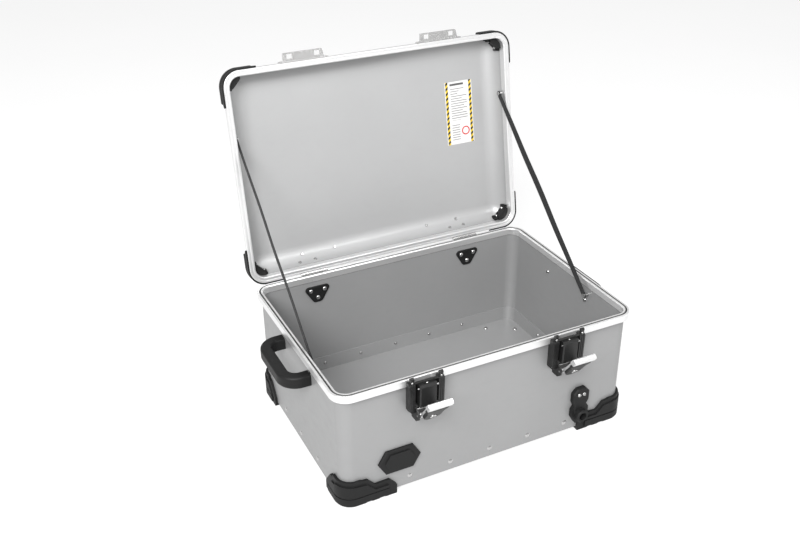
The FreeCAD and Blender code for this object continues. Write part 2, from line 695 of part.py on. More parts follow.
def make_latch_base(label, middle):
    """Fixed back plate with the two lugs that hold the pins."""
    body = new_body(label)
    plate = sketch_on(body, "XZ_Plane", label + "_plate", HALF_D + TINY)
    draw_polygon(plate, [(-18, drop(79)), (18, drop(79)), (29.5, drop(66)), (29.5, drop(15.5)),
                         (-29.5, drop(15.5)), (-29.5, drop(66))])
    pad(body, plate, str(PLATE_OUT))
    lugs = sketch_on(body, "YZ_Plane", label + "_lugs")
    draw_polygon(lugs, [(out(7), drop(79)), (out(24), drop(79)), (out(33.8), drop(71)), (out(33.8), drop(59.5)),
                        (out(20), drop(50)), (out(7), drop(50))])
    pad(body, lugs, "Sizes.latch_inner_width - 0.8", midplane=True)
    middle_gap = sketch_on(body, "YZ_Plane", label + "_gap")
    draw_box(middle_gap, out(40), out(PLATE_OUT + TINY), drop(90), drop(45))
    pocket(body, middle_gap, "Sizes.lever_width + 3", midplane=True)
    bores = sketch_on(body, "YZ_Plane", label + "_bores")
    draw_circles(bores, [(out(LEVER_OUT), drop(LEVER_DROP)), (out(HOOK_OUT), drop(HOOK_DROP))],
                 size("pin_radius") + RUNNING)
    pocket(body, bores, "60", midplane=True)
    holes = sketch_on(body, "XZ_Plane", label + "_holes", HALF_D)
    draw_circles(holes, [(side * LATCH_SCREW_X, drop(z)) for side in (-1, 1) for z in LATCH_SCREW_DROP],
                 SCREW_HOLE)
    pocket(body, holes, "7", reverse=True)
    body.Placement.Base.x = middle


def make_latch_hook(label, middle):
    """Two cheeks joined by a web with a raised middle, and a rounded hook on each cheek."""
    body = new_body(label)
    cheeks = sketch_on(body, "YZ_Plane", label + "_cheeks")
    draw_polygon(cheeks, [(out(9.2), drop(66)), (out(18), drop(66)), (out(22), drop(62)), (out(22), drop(5)),
                          (out(19), drop(CHEEK_TOP)), (out(9.2), drop(CHEEK_TOP))])
    pad(body, cheeks, "Sizes.latch_width", midplane=True)
    inner = size("latch_inner_width") / 2
    channel = sketch_on(body, "XY_Plane", label + "_channel", drop(0))
    draw_box(channel, -inner, inner, out(24), out(11.7))
    pocket(body, channel, "68")
    windows = sketch_on(body, "XZ_Plane", label + "_windows", HALF_D + 30)
    draw_box(windows, -inner, inner, drop(68), drop(49.2))
    draw_box(windows, -inner, inner, drop(24), drop(0))
    half = size("latch_width") / 2
    for side in (-1, 1):
        draw_polygon(windows, [(side * (half + 0.2), drop(56)), (side * (half + 0.2), drop(68)),
                               (side * (half - 9), drop(68))])
    pocket(body, windows, "26")
    groove = sketch_on(body, "XY_Plane", label + "_grooves", drop(0))
    for side in (-1, 1):
        for place in (26.2, 30.2):
            draw_box(groove, side * place - 0.7, side * place + 0.7, out(24), out(21))
    pocket(body, groove, "70")
    block_half = size("latch_block_width") / 2
    block = sketch_on(body, "XY_Plane", label + "_block", drop(BLOCK_TOP))
    draw_polygon(block, [(-block_half, out(10.5)), (-block_half, out(BLOCK_OUT - 2)), (2 - block_half, out(BLOCK_OUT)),
                         (block_half - 2, out(BLOCK_OUT)), (block_half, out(BLOCK_OUT - 2)), (block_half, out(10.5))])
    pad(body, block, "45", reverse=True)
    slope = sketch_on(body, "YZ_Plane", label + "_slope")
    draw_polygon(slope, [(out(BLOCK_OUT - 3.5), drop(BLOCK_TOP - 0.1)), (out(BLOCK_OUT + 1), drop(BLOCK_TOP - 0.1)),
                         (out(BLOCK_OUT + 1), drop(BLOCK_TOP + 4.5))])
    pocket(body, slope, "40", midplane=True)
    hooks = sketch_on(body, "YZ_Plane", label + "_hooks")
    draw_box(hooks, out(POST_OUT), out(15.9), drop(3), drop(-KNOB_RISE))
    pad(body, hooks, "63", midplane=True)
    knobs = sketch_on(body, "YZ_Plane", label + "_knobs")
    draw_circles(knobs, [(out(KNOB_OUT), drop(-KNOB_RISE))], KNOB_RADIUS)
    pad(body, knobs, "63", midplane=True)
    between = sketch_on(body, "XZ_Plane", label + "_between", HALF_D + 30)
    draw_box(between, -24.5, 24.5, drop(CHEEK_TOP - 0.1), drop(-14))
    pocket(body, between, "26")
    bores = sketch_on(body, "YZ_Plane", label + "_bores")
    draw_circles(bores, [(out(HOOK_OUT), drop(HOOK_DROP))], size("pin_radius") + RUNNING)
    pocket(body, bores, "80", midplane=True)
    cross = sketch_on(body, "YZ_Plane", label + "_cross_bore")
    draw_circles(cross, [(out(CROSS_OUT), drop(CROSS_DROP))], CROSS_RADIUS + RUNNING)
    pocket(body, cross, "Sizes.latch_block_width + 4", midplane=True)
    top_hole = sketch_on(body, "XY_Plane", label + "_top_hole", drop(BLOCK_TOP - 1))
    draw_circles(top_hole, [(0, out(TOP_SCREW_OUT))], 1.3)
    pocket(body, top_hole, "6")
    post_holes = sketch_on(body, "XZ_Plane", label + "_post_holes", HALF_D + POST_OUT + 1)
    draw_circles(post_holes, [(side * KNOB_X, drop(POST_SCREW_DROP)) for side in (-1, 1)], 1.3)
    pocket(body, post_holes, "4.4")
    body.Placement = latch_place(middle, size("hook_angle"), HOOK_OUT, HOOK_DROP)


def make_hook_fixings(label, middle):
    """Cross pin and small screws that show on the latch hook."""
    solids = [Part.makeCylinder(CROSS_RADIUS, 40, Vec(-20, out(CROSS_OUT), drop(CROSS_DROP)), X_AXIS)]
    small = button_screw(3.4, shank=1.2, head=2.2, rise=1.2, key=0.8)
    places = [(Vec(0, out(TOP_SCREW_OUT), drop(BLOCK_TOP)), Z_AXIS)]
    places += [(Vec(side * KNOB_X, out(POST_OUT), drop(POST_SCREW_DROP)), -Y_AXIS) for side in (-1, 1)]
    for point, direction in places:
        copy = small.copy()
        copy.Placement = along(direction, point)
        solids.append(copy)
    solid_part(label, Part.makeCompound(solids), latch_place(middle, size("hook_angle"), HOOK_OUT, HOOK_DROP))


def make_latch_lever(label, middle):
    """Cast lever with a wide grip bar across its end."""
    body = new_body(label)
    arm = sketch_on(body, "YZ_Plane", label + "_arm")
    draw_polygon(arm, [(out(29.5), drop(65)), (out(30), drop(69.4)), (out(ARM_OUT), drop(68.5)),
                       (out(ARM_OUT), drop(12)), (out(29.5), drop(14))])
    pad(body, arm, "Sizes.lever_width", midplane=True)
    barrel = sketch_on(body, "YZ_Plane", label + "_barrel")
    draw_circles(barrel, [(out(LEVER_OUT), drop(LEVER_DROP))], 4.2)
    pad(body, barrel, "Sizes.lever_width", midplane=True)
    bar = sketch_on(body, "YZ_Plane", label + "_bar")
    draw_polygon(bar, [(out(29.8), drop(14.5)), (out(29.8), drop(3)), (out(32), drop(0.8)), (out(37.5), drop(0.5)),
                       (out(40.2), drop(2.5)), (out(40.5), drop(5.5)), (out(39.2), drop(6.4)), (out(39.2), drop(7.6)),
                       (out(40.5), drop(8.5)), (out(40.3), drop(11.5)), (out(38.5), drop(13.5)),
                       (out(34.5), drop(14.5))])
    pad(body, bar, "Sizes.grip_width", midplane=True)
    bores = sketch_on(body, "YZ_Plane", label + "_bore")
    draw_circles(bores, [(out(LEVER_OUT), drop(LEVER_DROP))], size("pin_radius") + RUNNING)
    pocket(body, bores, "60", midplane=True)
    body.Placement = latch_place(middle, size("lever_angle"), LEVER_OUT, LEVER_DROP)


ARM_OUT = 33.3          # outer face of the lever's arm, lever shut
COVER_ROUND = 17.0      # radius of the lever cover's round foot
COVER_ROUND_DROP = 52.5
COVER_THICK = 6.1
LOCK_RADIUS = 6.0
LOCK_THICK = 7.4


def make_lever_cover(label, middle):
    """Moulded cover on the outside of the lever, round at its foot."""
    body = new_body(label)
    inner = ARM_OUT + 0.1
    face = sketch_on(body, "XZ_Plane", label + "_face", HALF_D + inner)
    r = COVER_ROUND
    circle = Part.Circle(Vec(0, drop(COVER_ROUND_DROP), 0), Z_AXIS, r)
    face.addGeometry(Part.ArcOfCircle(circle, math.pi, 2 * math.pi), False)
    corners = [(r, drop(COVER_ROUND_DROP)), (r, drop(32)), (21.5, drop(25)), (21.5, drop(19.5)),
               (-21.5, drop(19.5)), (-21.5, drop(25)), (-r, drop(32)), (-r, drop(COVER_ROUND_DROP))]
    for (x1, z1), (x2, z2) in zip(corners, corners[1:]):
        face.addGeometry(Part.LineSegment(Vec(x1, z1, 0), Vec(x2, z2, 0)), False)
    cover = pad(body, face, str(COVER_THICK))
    chamfer(body, cover, lambda e: e.BoundBox.YMax < out(inner + COVER_THICK) + 1e-3, "1.4")
    bore = sketch_on(body, "XZ_Plane", label + "_lock_bore", HALF_D + inner + COVER_THICK + 1)
    draw_circles(bore, [(0, drop(COVER_ROUND_DROP))], LOCK_RADIUS + RUNNING)
    pocket(body, bore, str(COVER_THICK + 2))
    body.Placement = latch_place(middle, size("lever_angle"), LEVER_OUT, LEVER_DROP)


def make_lock_cylinder(label, middle):
    """Key cylinder that turns in the lever's cover."""
    body = new_body(label)
    inner = ARM_OUT + 0.3
    face = sketch_on(body, "XZ_Plane", label + "_face", HALF_D + inner)
    draw_circles(face, [(0, drop(COVER_ROUND_DROP))], LOCK_RADIUS)
    plug = pad(body, face, str(LOCK_THICK))
    chamfer(body, plug, lambda e: e.BoundBox.YMax < out(inner + LOCK_THICK) + 1e-3, "0.6")
    slot = sketch_on(body, "XZ_Plane", label + "_slot", HALF_D + inner + LOCK_THICK + 1)
    draw_box(slot, -0.8, 0.8, drop(COVER_ROUND_DROP) - 3.4, drop(COVER_ROUND_DROP) + 3.4)
    pocket(body, slot, "3.6")
    body.Placement = latch_place(middle, size("lever_angle"), LEVER_OUT, LEVER_DROP)


def make_latch_pins():
    solids = []
    for middle in latch_middles:
        for out_of_wall, below, length in ((LEVER_OUT, LEVER_DROP, 44), (HOOK_OUT, HOOK_DROP, 60)):
            start = Vec(middle - length / 2, out(out_of_wall), drop(below))
            solids.append(Part.makeCylinder(size("pin_radius"), length, start, X_AXIS))
    solid_part("latch_pins", Part.makeCompound(solids))


def make_latch_base_screws():
    inside = -HALF_D + SHEET
    places = [(Vec(x, inside, z), Y_AXIS) for x, z in latch_screws]
    fasteners("latch_base_screws", button_screw(SHEET + 6), places)


# ---------------------------------------------------------------- hinges

def make_hinge_base_leaf(label, middle):
    """Leaf bent round the rim's skirt and bolted to the back wall."""
    body = new_body(label)
    thick = size("leaf_thickness")
    back = HINGE_Y - 0.5
    wall = HALF_D + TINY
    low = drop(size("rim_height") + 3.5)
    leaf = sketch_on(body, "YZ_Plane", label + "_section")
    draw_polygon(leaf, [(back, HINGE_Z), (back, low), (wall, low), (wall, drop(64)), (wall + thick, drop(66)),
                        (wall + thick, low - thick), (back + thick, low - thick), (back + thick, HINGE_Z)])
    pad(body, leaf, "Sizes.hinge_width", midplane=True)
    knuckle = sketch_on(body, "YZ_Plane", label + "_knuckle")
    draw_circles(knuckle, [(HINGE_Y, HINGE_Z)], size("knuckle_radius"))
    pad(body, knuckle, "Sizes.hinge_width", midplane=True)
    gap = sketch_on(body, "XZ_Plane", label + "_gap", -HALF_D - 30)
    draw_box(gap, -13.4, 13.4, HINGE_Z - size("knuckle_radius") - 1.0, HINGE_Z + 10)
    pocket(body, gap, "27", reverse=True)
    bore = sketch_on(body, "YZ_Plane", label + "_bore")
    draw_circles(bore, [(HINGE_Y, HINGE_Z)], size("hinge_pin_radius") + RUNNING)
    pocket(body, bore, "80", midplane=True)
    taper = sketch_on(body, "XZ_Plane", label + "_taper", -HALF_D - 30)
    for side in (-1, 1):
        draw_polygon(taper, [(side * 28.1, drop(36)), (side * 12, drop(67)), (side * 28.1, drop(67))])
    pocket(body, taper, "40", reverse=True)
    holes = sketch_on(body, "XZ_Plane", label + "_holes", -HALF_D - 10)
    draw_circles(holes, HINGE_SCREWS, SCREW_HOLE)
    pocket(body, holes, "12", reverse=True)
    body.Placement.Base.x = middle


def make_hinge_backing_plate(label, middle):
    """Rounded triangle inside the back wall, threaded for the hinge screws."""
    thick = size("backing_thickness")
    y = HALF_D - SHEET - TINY - thick
    corners = [(-31.5, 0, 210), (31.5, 0, 210), (9, 0, 173), (-9, 0, 173)]
    plate = prism(corners, Vec(0, y, 0), Vec(0, thick, 0))
    across = [e for e in plate.Edges if e.BoundBox.XLength < 1e-4 and e.BoundBox.ZLength < 1e-4]
    plate = plate.makeFillet(7, across)
    front = [e for e in plate.Edges if e.BoundBox.YMax < y + 1e-3]
    plate = plate.makeChamfer(0.8, front)
    plate = drilled(plate, [(Vec(x, y - 1, z), Y_AXIS) for x, z in HINGE_SCREWS], SCREW_HOLE, thick + 3)
    solid_part(label, plate, FreeCAD.Placement(Vec(middle, 0, 0), FreeCAD.Rotation()))


def make_hinge_base_screws():
    """Heads on the backing plates inside, shanks through wall and leaf."""
    y = HALF_D - SHEET - TINY - size("backing_thickness")
    places = [(Vec(x, y, z), -Y_AXIS) for x, z in hinge_screws]
    fasteners("hinge_base_screws", button_screw(size("backing_thickness") + SHEET + 5.5), places)


def make_hinge_pins():
    length = size("hinge_width") + 1
    solids = [Part.makeCylinder(size("hinge_pin_radius"), length,
                                Vec(middle - length / 2, HINGE_Y, HINGE_Z), X_AXIS) for middle in hinge_middles]
    solid_part("hinge_pins", Part.makeCompound(solids))


LEAF_RIVET_ANGLE = 28
LEAF_RIVET_X = 17


def arc_centre():
    """Centre of the lid's rounded back edge, lid shut: (y, z)."""
    radius = size("lid_edge_radius")
    return HALF_D - radius, SHUT + size("lid_height") - radius


def make_hinge_lid_leaf(label, middle):
    """Leaf bent round the lid rim's skirt and over the lid's rounded edge."""
    thick = size("leaf_thickness")
    radius = size("lid_edge_radius") + 0.15
    cy, cz = arc_centre()
    back = HINGE_Y - 0.5
    step = SHUT + size("rim_height") + 0.4
    end = math.radians(42)

    def on_arc(r, angle):
        return Vec(0, cy + r * math.cos(angle), cz + r * math.sin(angle))

    inner_start = on_arc(radius, 0)
    outer_start = on_arc(radius + thick, 0)
    edges = [
        Part.makeLine(Vec(0, back, HINGE_Z), Vec(0, back, step)),
        Part.makeLine(Vec(0, back, step), Vec(0, inner_start.y, step)),
        Part.makeLine(Vec(0, inner_start.y, step), inner_start),
        Part.Arc(inner_start, on_arc(radius, end / 2), on_arc(radius, end)).toShape(),
        Part.makeLine(on_arc(radius, end), on_arc(radius + thick, end)),
        Part.Arc(on_arc(radius + thick, end), on_arc(radius + thick, end / 2), outer_start).toShape(),
        Part.makeLine(outer_start, Vec(0, outer_start.y, step + thick)),
        Part.makeLine(Vec(0, outer_start.y, step + thick), Vec(0, back + thick, step + thick)),
        Part.makeLine(Vec(0, back + thick, step + thick), Vec(0, back + thick, HINGE_Z)),
        Part.makeLine(Vec(0, back + thick, HINGE_Z), Vec(0, back, HINGE_Z)),
    ]
    width = size("hinge_width")
    leaf = Part.Face(Part.Wire(edges)).extrude(Vec(width, 0, 0))
    leaf.translate(Vec(-width / 2, 0, 0))
    clear = size("knuckle_radius") + 1.0
    for side in (-1, 1):
        low = 13.0 if side > 0 else -13.0 - width
        leaf = leaf.cut(Part.makeBox(width, 40, 2 * clear, Vec(low, HALF_D, HINGE_Z - clear)))
    knuckle = Part.makeCylinder(size("knuckle_radius"), 26, Vec(-13, HINGE_Y, HINGE_Z), X_AXIS)
    leaf = leaf.fuse(knuckle).removeSplitter()
    bore = Part.makeCylinder(size("hinge_pin_radius") + RUNNING, 80, Vec(-40, HINGE_Y, HINGE_Z), X_AXIS)
    leaf = leaf.cut(bore)
    leaf.translate(Vec(middle, 0, 0))
    leaf = drilled(leaf, leaf_rivet_places([middle], -10), RIVET_HOLE, 25)
    solid_part(label, leaf, LID_OPEN)


def leaf_rivet_places(middles, start):
    """Points on the lid's rounded back edge, start out from its inner face, facing out."""
    angle = math.radians(LEAF_RIVET_ANGLE)
    cy, cz = arc_centre()
    radius = size("lid_edge_radius") - SHEET + start
    direction = Vec(0, math.cos(angle), math.sin(angle))
    return [(Vec(middle + side * LEAF_RIVET_X, cy + radius * math.cos(angle), cz + radius * math.sin(angle)),
             direction) for middle in middles for side in (-1, 1)]


# ---------------------------------------------------------------- lid

CLAMP_BAND = 4.0
CLAMP_Z = (19.0, 33.0)
CLAMP_SCREW_RISE = 25.0
CLAMP_SCREW_BACK = 26.0      # clamp screws, back from the corner of the walls
TIE_X = 145.5
TIE_ANGLE = 58              # loops and rivets on the rounded back edge, up from level
TIE_SPAN = 73.0


def lid_volume(grow, low):
    """The lid's outside grown by some amount, from a height over the mating face."""
    height = size("lid_height") + min(grow, 0) if grow < 0 else size("lid_height") + grow
    radius = size("lid_edge_radius") + grow
    return rounded_box(grow, SHUT + low, SHUT + height, radius)


def clamp_screw_places(inset):
    """Screws of the corner clamps: (start inside the wall, outward direction)."""
    places = []
    for sx in (-1, 1):
        for sy in (-1, 1):
            z = SHUT + CLAMP_SCREW_RISE
            places.append((Vec(sx * (HALF_W - CLAMP_SCREW_BACK), sy * (HALF_D - inset), z), Vec(0, sy, 0)))
            places.append((Vec(sx * (HALF_W - inset), sy * (HALF_D - CLAMP_SCREW_BACK), z), Vec(sx, 0, 0)))
    return places


def lid_stud_places(inset):
    z = SHUT + size("strap_lid_rise")
    y = size("strap_lid_y")
    return [(Vec(side * (HALF_W - inset), y, z), Vec(side, 0, 0)) for side in (-1, 1)]


def tie_rivet_places(start):
    """Points on the rounded back edge, start out from its inner face, facing out."""
    angle = math.radians(TIE_ANGLE)
    cy, cz = arc_centre()
    radius = size("lid_edge_radius") - SHEET + start
    direction = Vec(0, math.cos(angle), math.sin(angle))
    return [(Vec(side * TIE_X + x, cy + radius * math.cos(angle), cz + radius * math.sin(angle)), direction)
            for side in (-1, 1) for x in (-TIE_SPAN / 2, TIE_SPAN / 2)]


def make_lid_shell():
    """Pressed lid with a wide rounded edge."""
    low = size("rim_web") + GAP
    outer = doc.addObject("Part::Box", "lid_block")
    bind(outer, "Length", "Sizes.body_width")
    bind(outer, "Width", "Sizes.body_depth")
    outer.Height = size("lid_height") - low
    outer.Placement.Base = Vec(-HALF_W, -HALF_D, SHUT + low)
    inner = doc.addObject("Part::Box", "lid_hollow")
    bind(inner, "Length", "Sizes.body_width - 2 * Sizes.sheet_thickness")
    bind(inner, "Width", "Sizes.body_depth - 2 * Sizes.sheet_thickness")
    inner.Height = size("lid_height") - SHEET - low + 5
    inner.Placement.Base = Vec(SHEET - HALF_W, SHEET - HALF_D, SHUT + low - 5)
    doc.recompute()

    def rounded(block, upright_radius, top_radius):
        first = doc.addObject("Part::Fillet", block.Name + "_corners")
        first.Base = block
        edges = [i for i, e in enumerate(block.Shape.Edges, start=1) if is_upright(e)]
        first.Edges = [(i, upright_radius, upright_radius) for i in edges]
        doc.recompute()
        top = first.Shape.BoundBox.ZMax - 1e-3
        second = doc.addObject("Part::Fillet", block.Name + "_edge")
        second.Base = first
        edges = [i for i, e in enumerate(first.Shape.Edges, start=1) if e.BoundBox.ZMin > top]
        second.Edges = [(i, top_radius, top_radius) for i in edges]
        doc.recompute()
        return second

    radius = size("lid_edge_radius")
    skin = rounded(outer, CORNER, radius)
    hollow = rounded(inner, CORNER - SHEET, radius - SHEET)
    shell = doc.addObject("Part::Cut", "lid_skin")
    shell.Base = skin
    shell.Tool = hollow
    doc.recompute()
    drills = [Part.makeCylinder(RIVET_HOLE, 8, p - d * 3, d) for p, d in leaf_rivet_places(hinge_middles, 0)]
    drills += [Part.makeCylinder(RIVET_HOLE, 8, p - d * 3, d) for p, d in tie_rivet_places(0)]
    drills += [Part.makeCylinder(CLAMP_HOLE, 12, p, d) for p, d in clamp_screw_places(8)]
    drills += [Part.makeCylinder(SCREW_HOLE, 12, p, d) for p, d in lid_stud_places(8)]
    tools = doc.addObject("Part::Feature", "lid_drills")
    tools.Shape = Part.makeCompound(drills)
    lid = doc.addObject("Part::Cut", "lid_shell_cut")
    lid.Base = shell
    lid.Tool = tools
    doc.recompute()
    lid.Placement = LID_OPEN
    keep(lid, "lid_shell")


def make_lid_rim():
    profile = rim_profile(SHUT, -1, size("rim_outward") + GAP, size("rim_inward"), size("rim_height") + 3)
    body = swept_ring("lid_rim", profile, SHUT)
    notch_for_hinges(body, SHUT - 1, SHUT + size("knuckle_radius") + 1.2)
    holes = sketch_on(body, "XZ_Plane", "lid_rim_keeper_holes", HALF_D + 12)
    draw_circles(holes, [(middle + x, SHUT + KEEPER_RIVET_RISE) for middle in latch_middles for x in KEEPER_RIVETS],
                 RIVET_HOLE)
    pocket(body, holes, "6.5")
    body.Placement = LID_OPEN


KEEPER_RIVETS = (-31, -12, 12, 31)
KEEPER_RIVET_RISE = 9.8
KEEPER_BACK = 8.5
KEEPER_THICK = 2.5
KEEPER_REACH = 26.3


def make_latch_keeper(label, middle):
    """Channel bracket whose two windows take the latch's hooks."""
    plate_z = (0.6, 13.4)
    ledge_z = (1.2, 3.4)
    lip = 2.0
    body = new_body(label)
    plate = sketch_on(body, "XZ_Plane", label + "_plate", HALF_D + KEEPER_BACK)
    draw_polygon(plate, [(-50, SHUT + plate_z[0]), (50, SHUT + plate_z[0]), (50, SHUT + 8),
                         (45, SHUT + plate_z[1]), (-45, SHUT + plate_z[1]), (-50, SHUT + 8)])
    pad(body, plate, str(KEEPER_THICK))
    ledge = sketch_on(body, "XY_Plane", label + "_ledge", SHUT + ledge_z[0])
    draw_polygon(ledge, [(-43, out(KEEPER_BACK + 1)), (43, out(KEEPER_BACK + 1)), (39, out(KEEPER_REACH)),
                         (-39, out(KEEPER_REACH))])
    pad(body, ledge, str(ledge_z[1] - ledge_z[0]))
    edge = sketch_on(body, "XY_Plane", label + "_lip", SHUT + ledge_z[0])
    draw_box(edge, -39, 39, out(KEEPER_REACH), out(KEEPER_REACH - lip))
    pad(body, edge, "9")
    ends = sketch_on(body, "YZ_Plane", label + "_ends")
    draw_polygon(ends, [(out(KEEPER_BACK + 1), SHUT + 2), (out(KEEPER_REACH - 1), SHUT + 2),
                        (out(KEEPER_REACH - 1), SHUT + 10), (out(KEEPER_BACK + 1), SHUT + 12.5)])
    pad(body, ends, "78", midplane=True)
    clear = sketch_on(body, "XY_Plane", label + "_clear", SHUT + 20)
    draw_box(clear, -37, 37, out(KEEPER_REACH - lip), out(KEEPER_BACK + KEEPER_THICK))
    pocket(body, clear, str(20 - ledge_z[1]))
    windows = sketch_on(body, "XY_Plane", label + "_windows", SHUT + 8)
    for side in (-1, 1):
        draw_box(windows, side * KNOB_X - 5.5, side * KNOB_X + 5.5, out(KEEPER_REACH - lip), out(15.5))
    pocket(body, windows, "12")
    holes = sketch_on(body, "XZ_Plane", label + "_holes", HALF_D + 20)
    draw_circles(holes, [(x, SHUT + KEEPER_RIVET_RISE) for x in KEEPER_RIVETS], RIVET_HOLE)
    pocket(body, holes, "15")
    placement = LID_OPEN.multiply(FreeCAD.Placement(Vec(middle, 0, 0), FreeCAD.Rotation()))
    body.Placement = placement


def make_lid_rivets():
    """Rivets of the hinge leaves, the keepers and the tie-down loops."""
    seat = 0.25          # flat tails stand off the rounded inside
    groups = (
        (domed_rivet(SHEET + 0.15 + size("leaf_thickness") + seat), leaf_rivet_places(hinge_middles, -seat)),
        (domed_rivet(size("rim_metal") + KEEPER_THICK + GAP, head=3.6, rise=1.4, tail=3.0),
         [(Vec(middle + x, out(size("rim_outward") + GAP - size("rim_metal")), SHUT + KEEPER_RIVET_RISE), -Y_AXIS)
          for middle in latch_middles for x in KEEPER_RIVETS]),
        (domed_rivet(SHEET + 0.1 + TIE_THICK + seat), tie_rivet_places(-seat)),
    )
    solids = []
    for rivet, places in groups:
        for point, direction in places:
            copy = rivet.copy()
            copy.Placement = along(direction, point)
            solids.append(copy)
    solid_part("lid_rivets", Part.makeCompound(solids), LID_OPEN)


TIE_THICK = 2.5
TIE_RISE = 11.0


def make_tie_loop(label, side):
    """Low bent bar on the lid's back edge, for a lashing strap."""
    body = new_body(label)
    cy, cz = arc_centre()
    low = cz + size("lid_edge_radius") + 0.1
    half = TIE_SPAN / 2
    thick = TIE_THICK
    section = sketch_on(body, "XZ_Plane", label + "_section", -cy)
    draw_polygon(section, [(-half - 9, low), (-half + 8, low), (-half + 14, low + TIE_RISE - thick),
                           (half - 14, low + TIE_RISE - thick), (half - 8, low), (half + 9, low),
                           (half + 9, low + thick), (half - 6.5, low + thick),
                           (half - 12.5, low + TIE_RISE), (-half + 12.5, low + TIE_RISE),
                           (-half + 6.5, low + thick), (-half - 9, low + thick)])
    bar = pad(body, section, "13", midplane=True)
    end = half + 8.9
    fillet(body, bar, lambda e: is_upright(e) and abs(e.BoundBox.XMin) > end, "5")
    holes = sketch_on(body, "XY_Plane", label + "_holes", low + 6)
    draw_circles(holes, [(-half, cy), (half, cy)], RIVET_HOLE)
    pocket(body, holes, "8")
    lean = turned(X_AXIS, TIE_ANGLE - 90, Vec(0, cy, cz))
    shift = FreeCAD.Placement(Vec(side * TIE_X, 0, 0), FreeCAD.Rotation())
    body.Placement = LID_OPEN.multiply(shift).multiply(lean)


def make_lid_corners():
    """Moulded protectors over the lid's corners, with a groove round their outside."""
    grow = size("lid_corner_outward")
    top = SHUT + size("lid_height") + 4.5
    envelope = rounded_box(grow, SHUT + 1, top, 42)
    groove = rounded_box(grow + 5, SHUT + 8.5, SHUT + 11).cut(rounded_box(grow - 1.5, SHUT + 7, SHUT + 12))
    rim_space = rounded_box(size("rim_outward") + GAP + 0.15, SHUT - 1, SHUT + size("rim_height") - 0.8)
    body = envelope.cut(groove).cut(rim_space).cut(lid_volume(0.15, -2))
    far_x = HALF_W + 30
    far_y = HALF_D + 30
    block = [(HALF_W - 46, far_y), (HALF_W - 46, HALF_D - 22), (HALF_W - 22, HALF_D - 46),
             (far_x, HALF_D - 46), (far_x, far_y)]
    corner = prism([(x, y, 0) for x, y in block], Vec(0, 0, SHUT), Vec(0, 0, 80))
    screw_places = [(p, d) for p, d in clamp_screw_places(8) if p.x > 0 and p.y > 0]
    for side_y, side_name, reach in ((-1, "front", 58), (1, "back", 66)):
        arms = arm_outline(LID_ARM_X, HALF_W, Vec(1, 0, 0), Vec(0, HALF_D + 4, 0), Vec(0, 40, 0))
        arms = arms.fuse(arm_outline(reach, HALF_D, Vec(0, 1, 0), Vec(HALF_W + 4, 0, 0), Vec(40, 0, 0)))
        steps = Part.makeBox(82, 40, 30, Vec(HALF_W - 52, HALF_D - 8, SHUT))
        steps = steps.fuse(Part.makeBox(40, 82, 30, Vec(HALF_W - 8, HALF_D - 52, SHUT)))
        piece = body.common(corner.fuse(arms).fuse(steps)).removeSplitter()
        piece = drilled(piece, screw_places, CLAMP_HOLE, 8 + 8.0)
        for side_x, name in ((-1, "left"), (1, "right")):
            solid_part(f"lid_corner_{side_name}_{name}", mirrored_to(piece, side_x, side_y), LID_OPEN)


def arm_outline(reach, half, direction, start, push):
    """A protector's arm: reach back from the corner of the walls, narrowed to its end."""
    outline = [(half - reach, 2), (half - reach, 5), (half - reach + 14, 15.5), (half + 30, 15.5), (half + 30, 0),
               (half - reach + 8, 0)]
    points = [(direction.x * u, direction.y * u, SHUT + z) for u, z in outline]
    return prism(points, start, push)


CLAMP_HOLE = 2.05
CLAMP_HEAD_ROOM = 4.6        # radius cleared round the screw heads
CLAMP_FACE = 12.0            # boss face, in from the wall
LID_ARM_X = 59               # protectors' arms along X, from the corner of the walls


def make_lid_corner_clamps():
    """Moulded clamps inside the lid's corners, with a boss at each screw."""
    band = lid_volume(-SHEET - 0.35, -3).cut(lid_volume(-SHEET - 0.35 - CLAMP_BAND, -4))
    reach = CLAMP_SCREW_BACK + 7
    window = Part.makeBox(reach + 20, reach + 20, CLAMP_Z[1] - CLAMP_Z[0],
                          Vec(HALF_W - reach, HALF_D - reach, SHUT + CLAMP_Z[0]))
    clamp = band.common(window)
    inside = lid_volume(-SHEET - 0.35, -3)
    for point, direction in clamp_screw_places(CLAMP_FACE):
        if point.x > 0 and point.y > 0:
            boss = Part.makeCylinder(6, CLAMP_FACE, point, direction)
            clamp = clamp.fuse(boss.common(inside))
    fill = [(HALF_W - 27, HALF_D - 12), (HALF_W - 12, HALF_D - 27), (HALF_W + 5, HALF_D - 27),
            (HALF_W + 5, HALF_D + 5), (HALF_W - 27, HALF_D + 5)]
    crescent = prism([(x, y, 0) for x, y in fill], Vec(0, 0, SHUT + 12), Vec(0, 0, 20))
    room = rounded_box(-size("rim_inward") - 0.4, SHUT, SHUT + 30).common(inside)
    clamp = clamp.fuse(crescent.common(room)).removeSplitter()
    near = [(p, d) for p, d in clamp_screw_places(CLAMP_FACE + 1) if p.x > 0 and p.y > 0]
    clamp = drilled(clamp, near, CLAMP_HOLE, CLAMP_FACE + 2)
    clamp = drilled(clamp, [(p + d, -d) for p, d in near], CLAMP_HEAD_ROOM, 14)
    solids = [mirrored_to(clamp, sx, sy) for sx in (-1, 1) for sy in (-1, 1)]
    solid_part("lid_corner_clamps", Part.makeCompound(solids), LID_OPEN)
    screw = button_screw(CLAMP_FACE + 6.5, shank=2.0, head=3.8, rise=2.0, key=1.2)
    places = [(p, -d) for p, d in clamp_screw_places(CLAMP_FACE)]
    fasteners("lid_corner_screws", screw, places, LID_OPEN)


